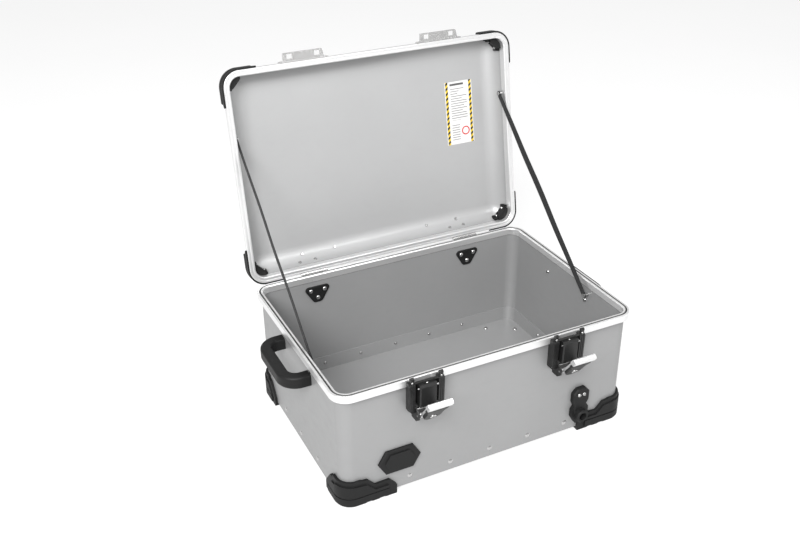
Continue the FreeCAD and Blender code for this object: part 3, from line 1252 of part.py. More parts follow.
def make_label_plate():
    """Printed card stuck inside the lid."""
    width, depth, thick = 65, 135, 0.4
    top = SHUT + size("lid_height") - SHEET - TINY
    label = doc.addObject("Part::Box", "label_card")
    label.Length = width
    label.Width = depth
    label.Height = thick
    label.Placement = LID_OPEN.multiply(FreeCAD.Placement(Vec(178, -115, top - thick), FreeCAD.Rotation()))
    keep(label, "label_plate")


# ---------------------------------------------------------------- front fittings

def make_cover_plate():
    """Hexagonal plate with a raised middle."""
    body = new_body("cover_plate")
    face = sketch_on(body, "XZ_Plane", "cover_face", HALF_D + TINY)
    half_long, half_flat, half_high = 42, 27, 25
    outline = [(-half_long, 0), (-half_flat, -half_high), (half_flat, -half_high), (half_long, 0),
               (half_flat, half_high), (-half_flat, half_high)]
    draw_polygon(face, [(COVER_X + x, COVER_Z + z) for x, z in outline])
    plate = pad(body, face, "Sizes.cover_thickness")
    front = -HALF_D - TINY - size("cover_thickness")
    chamfer(body, plate, lambda e: e.BoundBox.YMax < front + 1e-3, "1.5")
    raised = sketch_on(body, "XZ_Plane", "cover_raised", HALF_D + size("cover_thickness") - 0.5)
    draw_polygon(raised, [(COVER_X + x * 0.7, COVER_Z + z * 0.7) for x, z in outline])
    pad(body, raised, "2.5")
    holes = sketch_on(body, "XZ_Plane", "cover_holes", HALF_D)
    draw_circles(holes, cover_screws, SCREW_HOLE)
    pocket(body, holes, "4", reverse=True)


def make_accessory_socket():
    """Waisted casting with a round socket at its foot."""
    body = new_body("accessory_socket")
    x, z = SOCKET_X, SOCKET_Z
    upper = sketch_on(body, "XZ_Plane", "socket_upper", HALF_D + TINY)
    draw_polygon(upper, [(x - 13, z), (x - 14.5, z + 22), (x - 18.5, z + 31), (x - 18.5, z + 50), (x - 9, z + 60),
                         (x + 9, z + 60), (x + 18.5, z + 50), (x + 18.5, z + 31), (x + 13.5, z + 22), (x + 13, z)])
    block = pad(body, upper, str(SOCKET_FACE))
    block = fillet(body, block, lambda e: e.BoundBox.XLength < 1e-3 and e.BoundBox.ZLength < 1e-3, "2.5")
    front = -HALF_D - TINY - SOCKET_FACE
    chamfer(body, block, lambda e: e.BoundBox.YMax < front + 1e-3, "1.8")
    lobe = sketch_on(body, "XZ_Plane", "socket_lobe", HALF_D + TINY)
    draw_polygon(lobe, [(x - 19, z + 13), (x - 19, z - 3), (x - 9, z - 20), (x - 1.5, z - 20), (x - 1.5, z - 15.2),
                        (x + 12.7, z + 1), (x + 19, z + 1), (x + 19, z + 13), (x + 12, z + 24), (x - 12, z + 24)])
    pad(body, lobe, str(SOCKET_FACE - 1.5))
    past_foot = size("foot_thickness") + 0.5
    tube = sketch_on(body, "XZ_Plane", "socket_tube", HALF_D + past_foot)
    draw_circles(tube, [(x, z)], 13.5)
    barrel = pad(body, tube, str(size("socket_bore_depth") + 4 - past_foot))
    front = -HALF_D - size("socket_bore_depth") - 4
    chamfer(body, barrel, lambda e: e.BoundBox.YMax < front + 1e-3, "1.6")
    bore = sketch_on(body, "XZ_Plane", "socket_bore", HALF_D + size("socket_bore_depth") + 4)
    draw_circles(bore, [(x, z)], size("socket_bore_radius"))
    pocket(body, bore, "Sizes.socket_bore_depth")
    holes = sketch_on(body, "XZ_Plane", "socket_screw_holes", HALF_D + 30)
    draw_circles(holes, socket_screws, SCREW_HOLE)
    pocket(body, holes, "32")


def make_front_screws():
    """Screws of the socket and of the cover plate."""
    screw = button_screw(SOCKET_FACE + SHEET + 3, shank=2.4, head=3.9, rise=2.2, key=1.3)
    solids = []
    for x, z in socket_screws:
        copy = screw.copy()
        copy.Placement = along(-Y_AXIS, Vec(x, -HALF_D - TINY - SOCKET_FACE, z))
        solids.append(copy)
    short = button_screw(SHEET + 3.5)
    for x, z in cover_screws:
        copy = short.copy()
        copy.Placement = along(Y_AXIS, Vec(x, -HALF_D + SHEET, z))
        solids.append(copy)
    solid_part("front_screws", Part.makeCompound(solids))


# ---------------------------------------------------------------- straps

LOWER_PLANE = 289.9      # middle of the lower strap half, from the middle of the case
UPPER_PLANE = 292.2
STRAP_LAP = 6.0


def stud(reach, stand_off):
    """Shouldered stud along +Z from a wall's inner face at Z = 0, its head past a strap."""
    tail = Part.makeCylinder(3.8, 1.2, Vec(0, 0, -SHEET - TINY - 1.2))
    shank = Part.makeCylinder(2.5, SHEET + TINY + reach + 1.3, Vec(0, 0, -SHEET - TINY))
    shoulder = Part.makeCylinder(3.6, reach - size("strap_thickness") - 0.1 - stand_off, Vec(0, 0, stand_off))
    head = Part.makeCylinder(4.6, 1.2, Vec(0, 0, reach + 0.1))
    return tail.fuse(shank).fuse(shoulder).fuse(head).removeSplitter()


def open_point(y, z):
    """Where a point of the shut lid lies when the lid is open."""
    return LID_OPEN.multVec(Vec(0, y, z))


def make_straps():
    """Two webbing straps; each is two halves that meet at a fold half-way."""
    low = Vec(0, size("strap_base_y"), size("strap_base_z"))
    high = open_point(size("strap_lid_y"), SHUT + size("strap_lid_rise"))
    run = high.sub(low)
    angle = math.degrees(math.atan2(run.z, run.y))
    half = run.Length / 2 + STRAP_LAP
    width = size("strap_width")
    thick = size("strap_thickness")
    print(f"strap run {run.Length:.2f} mm at {angle:.2f} degrees, lid stud open at {high.y:.2f}, {high.z:.2f}")
    for side, name in ((-1, "left"), (1, "right")):
        for kind, plane, point, turn in (("lower", LOWER_PLANE, low, angle), ("upper", UPPER_PLANE, high, angle + 180)):
            label = f"strap_{kind}_{name}"
            body = new_body(label)
            band = sketch_on(body, "YZ_Plane", label + "_band")
            r = width / 2
            band.addGeometry(Part.ArcOfCircle(Part.Circle(Vec(0, 0, 0), Z_AXIS, r), math.pi / 2, 1.5 * math.pi), False)
            band.addGeometry(Part.LineSegment(Vec(0, -r, 0), Vec(half, -r, 0)), False)
            band.addGeometry(Part.LineSegment(Vec(half, -r, 0), Vec(half, r, 0)), False)
            band.addGeometry(Part.LineSegment(Vec(half, r, 0), Vec(0, r, 0)), False)
            draw_circles(band, [(0, 0)], 2.5 + RUNNING)
            pad(body, band, "Sizes.strap_thickness", midplane=True)
            place = FreeCAD.Placement(Vec(side * plane, point.y, point.z), FreeCAD.Rotation(X_AXIS, turn))
            body.Placement = place


def make_strap_studs():
    wall = HALF_W - SHEET
    y, z = strap_stud
    half_strap = size("strap_thickness") / 2
    places = [(Vec(side * wall, y, z), Vec(-side, 0, 0)) for side in (-1, 1)]
    fasteners("strap_base_studs", stud(wall - LOWER_PLANE + half_strap, TINY), places)
    places = [(p, -d) for p, d in lid_stud_places(SHEET)]
    fasteners("strap_lid_studs", stud(wall - UPPER_PLANE + half_strap, 1.2), places, LID_OPEN)


# ---------------------------------------------------------------- assembly

make_wall_wrap()
make_floor_pan()
make_floor_plate()
make_base_rim()
make_rim_seal()
make_base_rivets()
make_feet()
for name, side in (("side_handle_left", -1), ("side_handle_right", 1)):
    make_handle(name, side)
make_handle_screws()
for name, place in zip(("left", "right"), latch_middles):
    make_latch_base("latch_base_" + name, place)
    make_latch_hook("latch_hook_" + name, place)
    make_latch_lever("latch_lever_" + name, place)
    make_lever_cover("lever_cover_" + name, place)
    make_lock_cylinder("lock_cylinder_" + name, place)
    make_latch_keeper("latch_keeper_" + name, place)
    make_hook_fixings("hook_fixings_" + name, place)
make_latch_pins()
make_latch_base_screws()
for name, place in zip(("left", "right"), hinge_middles):
    make_hinge_base_leaf("hinge_base_leaf_" + name, place)
    make_hinge_lid_leaf("hinge_lid_leaf_" + name, place)
    make_hinge_backing_plate("hinge_backing_plate_" + name, place)
make_hinge_pins()
make_hinge_base_screws()
make_lid_shell()
make_lid_rim()
make_lid_corners()
make_lid_corner_clamps()
for name, side in (("left", -1), ("right", 1)):
    make_tie_loop("tie_loop_" + name, side)
make_lid_rivets()
make_label_plate()
make_cover_plate()
make_accessory_socket()
make_front_screws()
make_straps()
make_strap_studs()

doc.recompute()

# ---------------------------------------------------------------- checks and export

for obj in doc.Objects:
    if "Invalid" in obj.State or "Error" in obj.State:
        raise RuntimeError(f"{obj.Name} failed: {obj.State}")
for obj in parts:
    shape = obj.Shape
    if shape.isNull() or not shape.isValid() or shape.Volume < 1:
        raise RuntimeError(f"{obj.Label} has no valid solid")

os.makedirs("parts", exist_ok=True)
for obj in parts:
    obj.Shape.exportStep(f"parts/{obj.Label}.step")
print(len(parts), "parts written")
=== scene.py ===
"""Looks of the hinged aluminium top case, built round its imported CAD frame.

Metres.  X runs along the case, -Y is the latch side, +Z is up.
The lid is stored open; LID_ANGLE turns it back to shut about its hinge.
"""
import math

import bmesh
import bpy
from mathutils import Matrix, Vector


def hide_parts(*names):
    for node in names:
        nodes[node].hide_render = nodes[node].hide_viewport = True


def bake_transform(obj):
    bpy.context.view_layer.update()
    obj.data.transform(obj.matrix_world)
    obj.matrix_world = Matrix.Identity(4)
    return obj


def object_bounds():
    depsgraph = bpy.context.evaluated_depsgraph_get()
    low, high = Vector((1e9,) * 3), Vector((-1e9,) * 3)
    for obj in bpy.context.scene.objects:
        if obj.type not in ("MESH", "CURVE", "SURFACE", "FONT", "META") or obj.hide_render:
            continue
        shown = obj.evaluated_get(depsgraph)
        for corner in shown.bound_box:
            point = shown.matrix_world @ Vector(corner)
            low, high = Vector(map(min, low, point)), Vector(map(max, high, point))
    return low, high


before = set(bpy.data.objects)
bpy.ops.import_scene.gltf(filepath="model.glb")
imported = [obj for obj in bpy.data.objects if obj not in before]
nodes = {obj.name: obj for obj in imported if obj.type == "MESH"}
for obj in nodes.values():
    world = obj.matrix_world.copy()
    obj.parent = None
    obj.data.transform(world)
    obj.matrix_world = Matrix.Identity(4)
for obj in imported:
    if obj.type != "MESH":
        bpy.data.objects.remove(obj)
cad_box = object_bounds()

LID_ANGLE = math.radians(99.4)
HINGE = Vector((0, 0.2124, 0.2363))
HALF_WIDTH = 0.300
HALF_DEPTH = 0.203
LID_MIDDLE_RISE = 0.213     # middle of the open lid, above the hinge


# ---------------------------------------------------------------- node helpers

class Shader:
    """A node tree that is written as calls; each call returns its first output."""

    def __init__(self, name):
        self.material = bpy.data.materials.new(name)
        self.material.use_nodes = True
        self.tree = self.material.node_tree
        self.tree.nodes.clear()

    def fill(self, socket, value):
        if isinstance(value, bpy.types.NodeSocket):
            self.tree.links.new(value, socket)
        else:
            socket.default_value = value

    def math(self, operation, a, b=0.0, c=0.0):
        node = self.tree.nodes.new("ShaderNodeMath")
        node.operation = operation
        for socket, value in zip(node.inputs, (a, b, c)):
            self.fill(socket, value)
        return node.outputs[0]

    def spread(self, value, low, high, start=0.0, end=1.0):
        """Moves a value from start..end to low..high."""
        node = self.tree.nodes.new("ShaderNodeMapRange")
        for key, number in (("Value", value), ("From Min", start), ("From Max", end),
                            ("To Min", low), ("To Max", high)):
            self.fill(node.inputs[key], number)
        return node.outputs[0]

    def blend(self, factor, a, b):
        """Mixes two colours."""
        node = self.tree.nodes.new("ShaderNodeMix")
        node.data_type = "RGBA"
        node.blend_type = "MIX"
        self.fill(node.inputs[0], factor)
        self.fill(node.inputs[6], a)
        self.fill(node.inputs[7], b)
        return node.outputs[2]

    def noise(self, vector, scale, detail=3.0, rough=0.5):
        node = self.tree.nodes.new("ShaderNodeTexNoise")
        self.fill(node.inputs["Vector"], vector)
        self.fill(node.inputs["Scale"], scale)
        self.fill(node.inputs["Detail"], detail)
        self.fill(node.inputs["Roughness"], rough)
        return node.outputs[0]

    def place(self):
        """The point in the rest frame; every mesh lies where the frame puts it."""
        node = self.tree.nodes.new("ShaderNodeTexCoord")
        return node.outputs["Object"]

    def stretch(self, vector, x, y, z):
        node = self.tree.nodes.new("ShaderNodeMapping")
        self.fill(node.inputs["Vector"], vector)
        node.inputs["Scale"].default_value = (x, y, z)
        return node.outputs[0]

    def split(self, vector):
        node = self.tree.nodes.new("ShaderNodeSeparateXYZ")
        self.fill(node.inputs[0], vector)
        return node.outputs[0], node.outputs[1], node.outputs[2]

    def join(self, x, y, z):
        node = self.tree.nodes.new("ShaderNodeCombineXYZ")
        for socket, value in zip(node.inputs, (x, y, z)):
            self.fill(socket, value)
        return node.outputs[0]

    def bump(self, height, distance, strength):
        node = self.tree.nodes.new("ShaderNodeBump")
        self.fill(node.inputs["Height"], height)
        node.inputs["Distance"].default_value = distance
        node.inputs["Strength"].default_value = strength
        return node.outputs[0]

    def edges(self, radius):
        """One along worn edges, nought on flat faces."""
        bevel = self.tree.nodes.new("ShaderNodeBevel")
        bevel.samples = 4
        bevel.inputs["Radius"].default_value = radius
        geometry = self.tree.nodes.new("ShaderNodeNewGeometry")
        dot = self.tree.nodes.new("ShaderNodeVectorMath")
        dot.operation = "DOT_PRODUCT"
        self.tree.links.new(bevel.outputs[0], dot.inputs[0])
        self.tree.links.new(geometry.outputs["Normal"], dot.inputs[1])
        return self.spread(dot.outputs["Value"], 1.0, 0.0, 0.80, 0.98)

    def surface(self, **values):
        node = self.tree.nodes.new("ShaderNodeBsdfPrincipled")
        for key, value in values.items():
            self.fill(node.inputs[key.replace("_", " ")], value)
        out = self.tree.nodes.new("ShaderNodeOutputMaterial")
        self.tree.links.new(node.outputs[0], out.inputs["Surface"])
        return self.material


def grey(value, warmth=0.0):
    return (value * (1 + warmth), value, value * (1 - warmth), 1.0)


# ---------------------------------------------------------------- materials

def sheet_metal(name, tone, roughness):
    """Anodised sheet: a fine grain, faint rolling lines and soft handling marks."""
    s = Shader(name)
    at = s.place()
    cloud = s.noise(at, 7.0, 4.0, 0.55)
    marks = s.noise(s.stretch(at, 30.0, 30.0, 55.0), 1.0, 6.0, 0.65)
    rolled = s.noise(s.stretch(at, 6.0, 6.0, 900.0), 1.0, 2.0)
    grain = s.noise(at, 1700.0, 2.0, 0.7)
    colour = s.blend(cloud, grey(tone * 0.94, -0.004), grey(tone * 1.05, -0.004))
    colour = s.blend(s.spread(marks, 0.0, 0.10, 0.52, 0.75), colour, grey(tone * 0.80))
    colour = s.blend(s.spread(grain, 0.0, 0.16, 0.3, 0.7), colour, grey(tone * 1.12))
    rough = s.math("ADD", s.spread(cloud, roughness - 0.03, roughness + 0.03),
                   s.spread(marks, -0.02, 0.05, 0.4, 0.8))
    height = s.math("ADD", s.math("MULTIPLY", rolled, 0.25), grain)
    normal = s.bump(height, 0.00004, 0.55)
    return s.surface(Base_Color=colour, Metallic=0.30, Specular_IOR_Level=0.3, Roughness=rough, Normal=normal)


def extruded_rim(name, tone, roughness, outline):
    """Bright extrusion with die lines along it.

    outline: half width, half depth, middle of the depth, and whether the rim stands up with the open lid.
    """
    s = Shader(name)
    at = s.place()
    x, y, z = s.split(at)
    half_x, half_y, middle, upright = outline
    across = s.math("ABSOLUTE", x)
    run = s.math("ABSOLUTE", s.math("SUBTRACT", z if upright else y, middle))
    out = s.math("MAXIMUM", s.math("SUBTRACT", across, half_x), s.math("SUBTRACT", run, half_y))
    level = y if upright else z
    lines = s.noise(s.join(s.math("MULTIPLY", out, 1500.0), s.math("MULTIPLY", level, 1500.0), 0.0),
                    1.0, 3.0, 0.6)
    cloud = s.noise(at, 14.0, 4.0)
    nicks = s.noise(at, 260.0, 2.0, 0.4)
    colour = s.blend(cloud, grey(tone * 0.95), grey(min(tone * 1.04, 0.98)))
    colour = s.blend(s.spread(nicks, 0.0, 0.35, 0.66, 0.72), colour, grey(tone * 0.7))
    rough = s.math("ADD", s.spread(lines, roughness - 0.04, roughness + 0.06),
                   s.spread(cloud, -0.02, 0.04))
    return s.surface(Base_Color=colour, Metallic=0.75, Roughness=rough,
                     Normal=s.bump(lines, 0.00005, 0.5))


def moulded_plastic(name, tone, roughness, texture):
    """Black moulding with spark-eroded texture, paler on its rubbed edges."""
    s = Shader(name)
    at = s.place()
    cells = s.noise(at, texture, 3.0, 0.6)
    cloud = s.noise(at, 22.0, 4.0)
    worn = s.math("MULTIPLY", s.edges(0.0012), s.spread(s.noise(at, 60.0, 4.0), 0.1, 1.0, 0.35, 0.7))
    colour = s.blend(cloud, grey(tone * 0.8), grey(tone * 1.25, -0.02))
    colour = s.blend(worn, colour, grey(tone * 3.2, -0.01))
    rough = s.math("ADD", s.spread(cells, roughness - 0.06, roughness + 0.08),
                   s.spread(cloud, -0.04, 0.04))
    return s.surface(Base_Color=colour, Roughness=rough, Specular_IOR_Level=0.20,
                     Normal=s.bump(cells, 0.00012, 0.6))


def coated_metal(name, tone, roughness):
    """Satin black powder coat with orange peel and rubbed edges."""
    s = Shader(name)
    at = s.place()
    peel = s.noise(at, 900.0, 2.0, 0.4)
    cloud = s.noise(at, 30.0, 3.0)
    worn = s.math("MULTIPLY", s.edges(0.0008), s.spread(s.noise(at, 90.0, 4.0), 0.0, 1.0, 0.45, 0.75))
    colour = s.blend(worn, s.blend(cloud, grey(tone * 0.8), grey(tone * 1.2)), grey(0.09))
    rough = s.math("ADD", s.spread(cloud, roughness - 0.04, roughness + 0.05),
                   s.math("MULTIPLY", worn, -0.08))
    return s.surface(Base_Color=colour, Roughness=rough, Metallic=s.math("MULTIPLY", worn, 0.7),
                     Specular_IOR_Level=0.3, Coat_Weight=0.05, Coat_Roughness=0.3,
                     Normal=s.bump(peel, 0.00008, 0.5))


def bright_steel(name, tone, roughness, along=(30.0, 900.0, 900.0)):
    """Stainless steel with a short brushed grain and small scratches."""
    s = Shader(name)
    at = s.place()
    brushed = s.noise(s.stretch(at, *along), 1.0, 3.0, 0.6)
    cloud = s.noise(at, 40.0, 3.0)
    scratch = s.noise(s.stretch(at, 700.0, 90.0, 160.0), 1.0, 5.0, 0.7)
    colour = s.blend(cloud, grey(tone * 0.92, 0.005), grey(min(tone * 1.06, 0.98), 0.005))
    colour = s.blend(s.spread(scratch, 0.0, 0.4, 0.62, 0.72), colour, grey(tone * 0.6))
    rough = s.math("ADD", s.spread(brushed, roughness - 0.05, roughness + 0.09),
                   s.spread(scratch, -0.02, 0.06, 0.4, 0.7))
    return s.surface(Base_Color=colour, Metallic=1.0, Roughness=rough,
                     Normal=s.bump(brushed, 0.00004, 0.5))


def cast_alloy(name, tone, roughness):
    """Silver-lacquered die casting."""
    s = Shader(name)
    at = s.place()
    flake = s.noise(at, 2600.0, 1.0)
    cloud = s.noise(at, 45.0, 3.0)
    colour = s.blend(flake, grey(tone * 0.86), grey(min(tone * 1.1, 0.98)))
    colour = s.blend(s.spread(cloud, 0.0, 0.2), colour, grey(tone * 0.8))
    return s.surface(Base_Color=colour, Metallic=0.9, Coat_Weight=0.3, Coat_Roughness=0.15,
                     Roughness=s.spread(cloud, roughness - 0.04, roughness + 0.06),
                     Normal=s.bump(s.noise(at, 500.0, 2.0), 0.00006, 0.4))


def soft_rubber(name):
    s = Shader(name)
    at = s.place()
    cells = s.noise(at, 1400.0, 3.0, 0.6)
    dust = s.noise(at, 70.0, 4.0, 0.6)
    colour = s.blend(s.spread(dust, 0.0, 0.5, 0.5, 0.8), grey(0.018), grey(0.055, 0.03))
    return s.surface(Base_Color=colour, Roughness=s.spread(dust, 0.62, 0.85),
                     Normal=s.bump(cells, 0.0001, 0.5))


def webbing(name):
    """Plain-woven polyester tape; it reads the tape's own length and width from its UV map."""
    s = Shader(name)
    uv = s.tree.nodes.new("ShaderNodeUVMap")
    uv.uv_map = "tape"
    along, across, _ = s.split(uv.outputs[0])
    weft_pitch = 0.0016
    warp_pitch = 0.0011
    weft = s.math("SINE", s.math("MULTIPLY", along, 2 * math.pi / weft_pitch))
    warp = s.math("SINE", s.math("MULTIPLY", across, 2 * math.pi / warp_pitch))
    weave = s.math("MULTIPLY", weft, warp)
    fuzz = s.noise(s.place(), 2400.0, 3.0, 0.7)
    shade = s.math("ADD", s.spread(weave, 0.25, 0.75, -1.0, 1.0), s.spread(fuzz, -0.25, 0.25))
    colour = s.blend(shade, grey(0.004), grey(0.022, -0.03))
    height = s.math("ADD", weave, s.math("MULTIPLY", fuzz, 0.8))
    return s.surface(Base_Color=colour, Roughness=0.78, Specular_IOR_Level=0.2, Sheen_Weight=0.06,
                     Sheen_Roughness=0.5, Normal=s.bump(height, 0.00022, 0.8))


# the card inside the lid, in the shut lid's X and Y
CARD_X = (0.178, 0.243)
CARD_Y = (-0.115, 0.020)
CARD_BAND = 0.0075          # striped band along each side
CARD_MARGIN = 0.0015        # plain edge outside a band
STRIPE_PITCH = 0.0105
STRIPE_SLANT = 0.8
LINE_PITCH = 0.0052
LINE_INK = 0.34             # share of the pitch that a bar fills
RING = (0.0070, 0.0096)     # the ring's radii
RING_IN = (0.0195, 0.0270)  # its middle, in from the card's far corner


def printed_card(name):
    """A plain printed card: striped bands, bars that stand for lines of print and one ring."""
    s = Shader(name)
    x, y, z = s.split(s.place())
    # deep is the Y that this point has when the lid is shut
    back = s.math("SUBTRACT", y, HINGE.y)
    up = s.math("SUBTRACT", z, HINGE.z)
    deep = s.math("SUBTRACT", s.math("MULTIPLY", back, math.cos(LID_ANGLE)),
                  s.math("MULTIPLY", up, math.sin(LID_ANGLE)))
    deep = s.math("ADD", deep, HINGE.y)
    low_x, high_x = CARD_X
    low_y, high_y = CARD_Y

    def between(value, low, high):
        above = s.math("GREATER_THAN", value, low)
        return s.math("MULTIPLY", above, s.math("LESS_THAN", value, high))

    left = between(x, low_x + CARD_MARGIN, low_x + CARD_BAND)
    right = between(x, high_x - CARD_BAND, high_x - CARD_MARGIN)
    bands = s.math("MAXIMUM", left, right)
    slanted = s.math("ADD", deep, s.math("MULTIPLY", x, STRIPE_SLANT))
    wave = s.math("SINE", s.math("MULTIPLY", slanted, 2 * math.pi / STRIPE_PITCH))
    tick = s.math("GREATER_THAN", wave, 0.0)
    paper = s.blend(s.noise(s.place(), 60.0, 3.0), grey(0.50, 0.01), grey(0.54, 0.01))
    colour = s.blend(bands, paper, s.blend(tick, (0.50, 0.36, 0.02, 1.0), grey(0.012)))
    # bars of uneven length, in an upper block and a short lower one
    inner = between(x, low_x + 0.013, high_x - 0.013)
    line = s.math("DIVIDE", s.math("ADD", deep, 1.0), LINE_PITCH)
    bar = s.math("LESS_THAN", s.math("FRACT", line), LINE_INK)
    length = s.noise(s.join(0.0, s.math("FLOOR", line), 0.0), 1.7, 0.0)
    reach = s.math("LESS_THAN", x, s.spread(length, low_x + 0.030, high_x - 0.010, 0.35, 0.6))
    bars = s.math("MULTIPLY", s.math("MULTIPLY", inner, bar), reach)
    upper = between(deep, low_y + 0.012, high_y - 0.052)
    lower = s.math("MULTIPLY", between(deep, high_y - 0.045, high_y - 0.008),
                   s.math("LESS_THAN", x, low_x + 0.032))
    bars = s.math("MULTIPLY", bars, s.math("MAXIMUM", upper, lower))
    colour = s.blend(s.math("MULTIPLY", bars, 0.80), colour, grey(0.10))
    heading = s.math("MULTIPLY", between(deep, low_y + 0.004, low_y + 0.0085),
                     between(x, low_x + 0.012, high_x - 0.020))
    colour = s.blend(s.math("MULTIPLY", heading, 0.9), colour, grey(0.02))
    dx = s.math("SUBTRACT", x, high_x - RING_IN[0])
    dy = s.math("SUBTRACT", deep, high_y - RING_IN[1])
    far = s.math("SQRT", s.math("ADD", s.math("MULTIPLY", dx, dx), s.math("MULTIPLY", dy, dy)))
    colour = s.blend(between(far, *RING), colour, (0.42, 0.015, 0.015, 1.0))
    return s.surface(Base_Color=colour, Roughness=0.45, Specular_IOR_Level=0.3)


WALL = sheet_metal("anodised_sheet", 0.248, 0.42)
INNER_SHEET = sheet_metal("anodised_floor", 0.27, 0.42)
# the lid is the same anodised sheet as the walls; its brighter tone is painted light, standing in for the
# light that falls on the open lid's inside
LID_SHEET_PAINTED_BRIGHT = sheet_metal("anodised_lid_painted_bright", 0.325, 0.38)
RIM = extruded_rim("rim_extrusion", 0.70, 0.28, (HALF_WIDTH, HALF_DEPTH, 0.0, False))
LID_RIM = extruded_rim("lid_rim_extrusion", 0.72, 0.28,
                       (HALF_WIDTH, HALF_DEPTH, HINGE.z + LID_MIDDLE_RISE, True))
PLASTIC = moulded_plastic("black_moulding", 0.0075, 0.56, 900.0)
GRIP = moulded_plastic("black_grip", 0.0070, 0.52, 650.0)
COATED = coated_metal("black_coating", 0.009, 0.38)
STEEL = bright_steel("stainless", 0.66, 0.22)
SCREW_STEEL = bright_steel("screw_steel", 0.46, 0.22, (500.0, 500.0, 500.0))
CAST = cast_alloy("silver_casting", 0.82, 0.30)
RUBBER = soft_rubber("seal_rubber")
WEBBING = webbing("black_webbing")
CARD = printed_card("label_card")

FINISH = {
    "wall_wrap": WALL, "floor_pan": INNER_SHEET, "floor_plate": INNER_SHEET, "lid_shell": LID_SHEET_PAINTED_BRIGHT,
    "base_rim": RIM, "lid_rim": LID_RIM, "rim_seal": RUBBER, "label_plate": CARD,
    "latch_pins": SCREW_STEEL, "base_rivets": SCREW_STEEL, "foot_screws": SCREW_STEEL,
    "handle_screws": SCREW_STEEL, "latch_base_screws": SCREW_STEEL, "front_screws": SCREW_STEEL,
    "hinge_base_screws": SCREW_STEEL, "lid_rivets": SCREW_STEEL, "lid_corner_screws": SCREW_STEEL,
    "strap_base_studs": SCREW_STEEL, "strap_lid_studs": SCREW_STEEL,
}
FAMILIES = (
    ("side_handle", GRIP), ("foot_", PLASTIC), ("lid_corner", PLASTIC), ("cover_plate", PLASTIC),
    ("accessory_socket", PLASTIC), ("hinge_backing", PLASTIC), ("latch_base", COATED), ("latch_hook", COATED),
    ("lever_cover", COATED), ("latch_lever", CAST), ("latch_keeper", STEEL), ("hinge_", STEEL),
    ("tie_loop", STEEL), ("lock_cylinder", STEEL), ("strap_", WEBBING), ("hook_fixings", SCREW_STEEL),
)


def finish_of(name):
    if name in FINISH:
        return FINISH[name]
    return next(material for start, material in FAMILIES if name.startswith(start))


# pieces whose edges stay as cut
PLAIN_EDGES = {"wall_wrap", "floor_pan", "floor_plate", "lid_shell", "label_plate", "rim_seal"}
EASED = 0.00035             # width of the eased edges
SHARP = math.radians(33)    # steeper edges than this are eased, or shaded as creases
WELD_GAP = 0.00001


def make_smoothing():
    """A modifier group that shades smoothly everywhere but across sharp edges."""
    group = bpy.data.node_groups.new("smooth_by_angle", "GeometryNodeTree")
    group.interface.new_socket("Geometry", in_out="INPUT", socket_type="NodeSocketGeometry")
    group.interface.new_socket("Geometry", in_out="OUTPUT", socket_type="NodeSocketGeometry")
    start = group.nodes.new("NodeGroupInput")
    end = group.nodes.new("NodeGroupOutput")
    angle = group.nodes.new("GeometryNodeInputMeshEdgeAngle")
    steep = group.nodes.new("FunctionNodeCompare")
    steep.data_type = "FLOAT"
    steep.operation = "GREATER_THAN"
    steep.inputs[1].default_value = SHARP
    smooth = group.nodes.new("GeometryNodeSetShadeSmooth")
    smooth.domain = "FACE"
    crease = group.nodes.new("GeometryNodeSetShadeSmooth")
    crease.domain = "EDGE"
    crease.inputs["Shade Smooth"].default_value = False
    group.links.new(start.outputs[0], smooth.inputs["Geometry"])
    group.links.new(smooth.outputs[0], crease.inputs["Geometry"])
    group.links.new(angle.outputs["Unsigned Angle"], steep.inputs[0])
    group.links.new(steep.outputs[0], crease.inputs["Selection"])
    group.links.new(crease.outputs[0], end.inputs[0])
    return group


SMOOTHING = make_smoothing()


def dress(name, obj):
    """Gives a CAD node its material, smooth shading and eased edges."""
    obj.data.materials.clear()
    obj.data.materials.append(finish_of(name))
    weld = obj.modifiers.new("weld", "WELD")
    weld.merge_threshold = WELD_GAP
    if name not in PLAIN_EDGES:
        eased = obj.modifiers.new("eased_edges", "BEVEL")
        eased.width = EASED
        eased.segments = 2
        eased.limit_method = "ANGLE"
        eased.angle_limit = SHARP
        eased.use_clamp_overlap = True
    shading = obj.modifiers.new("smooth_shading", "NODES")
    shading.node_group = SMOOTHING
    weighted = obj.modifiers.new("flat_faces", "WEIGHTED_NORMAL")
    weighted.keep_sharp = True


for node_name, node_object in nodes.items():
    dress(node_name, node_object)


# ---------------------------------------------------------------- straps

def shut_to_open(y, z):
    """Where a point of the shut lid lies at rest."""
    a, b = y - HINGE.y, z - HINGE.z
    c, s = math.cos(-LID_ANGLE), math.sin(-LID_ANGLE)
    return Vector((0, HINGE.y + a * c - b * s, HINGE.z + a * s + b * c))


STRAP_WIDTH = 0.012
STRAP_THICK = 0.0014
STRAP_TWIST = {-1: math.radians(-2), 1: math.radians(-26)}     # at mid-length, by side
STRAP_STEPS = 240
STRAP_END = 0.0055          # tape past the stud, rounded off
STRAP_TIP = 0.12            # least width of the rounded end, squared, as a share
STRAP_WAVE = 0.0006         # height of the ripples along the tape
STRAP_WAVES = 5
STRAP_CREASE = math.radians(50)
# places across the half width, and how much of the thickness lies on each side there
STRAP_ACROSS = ((-1.0, 0.30), (-0.9, 0.5), (-0.45, 0.46), (0.0, 0.46), (0.45, 0.46), (0.9, 0.5), (1.0, 0.30))
LOWER_STUD = Vector((0, -0.074, 0.2055))
UPPER_STUD = shut_to_open(-0.080, 0.2576)
LOWER_PLANE = 0.2899        # how far out the tape lies, at each end
UPPER_PLANE = 0.2922


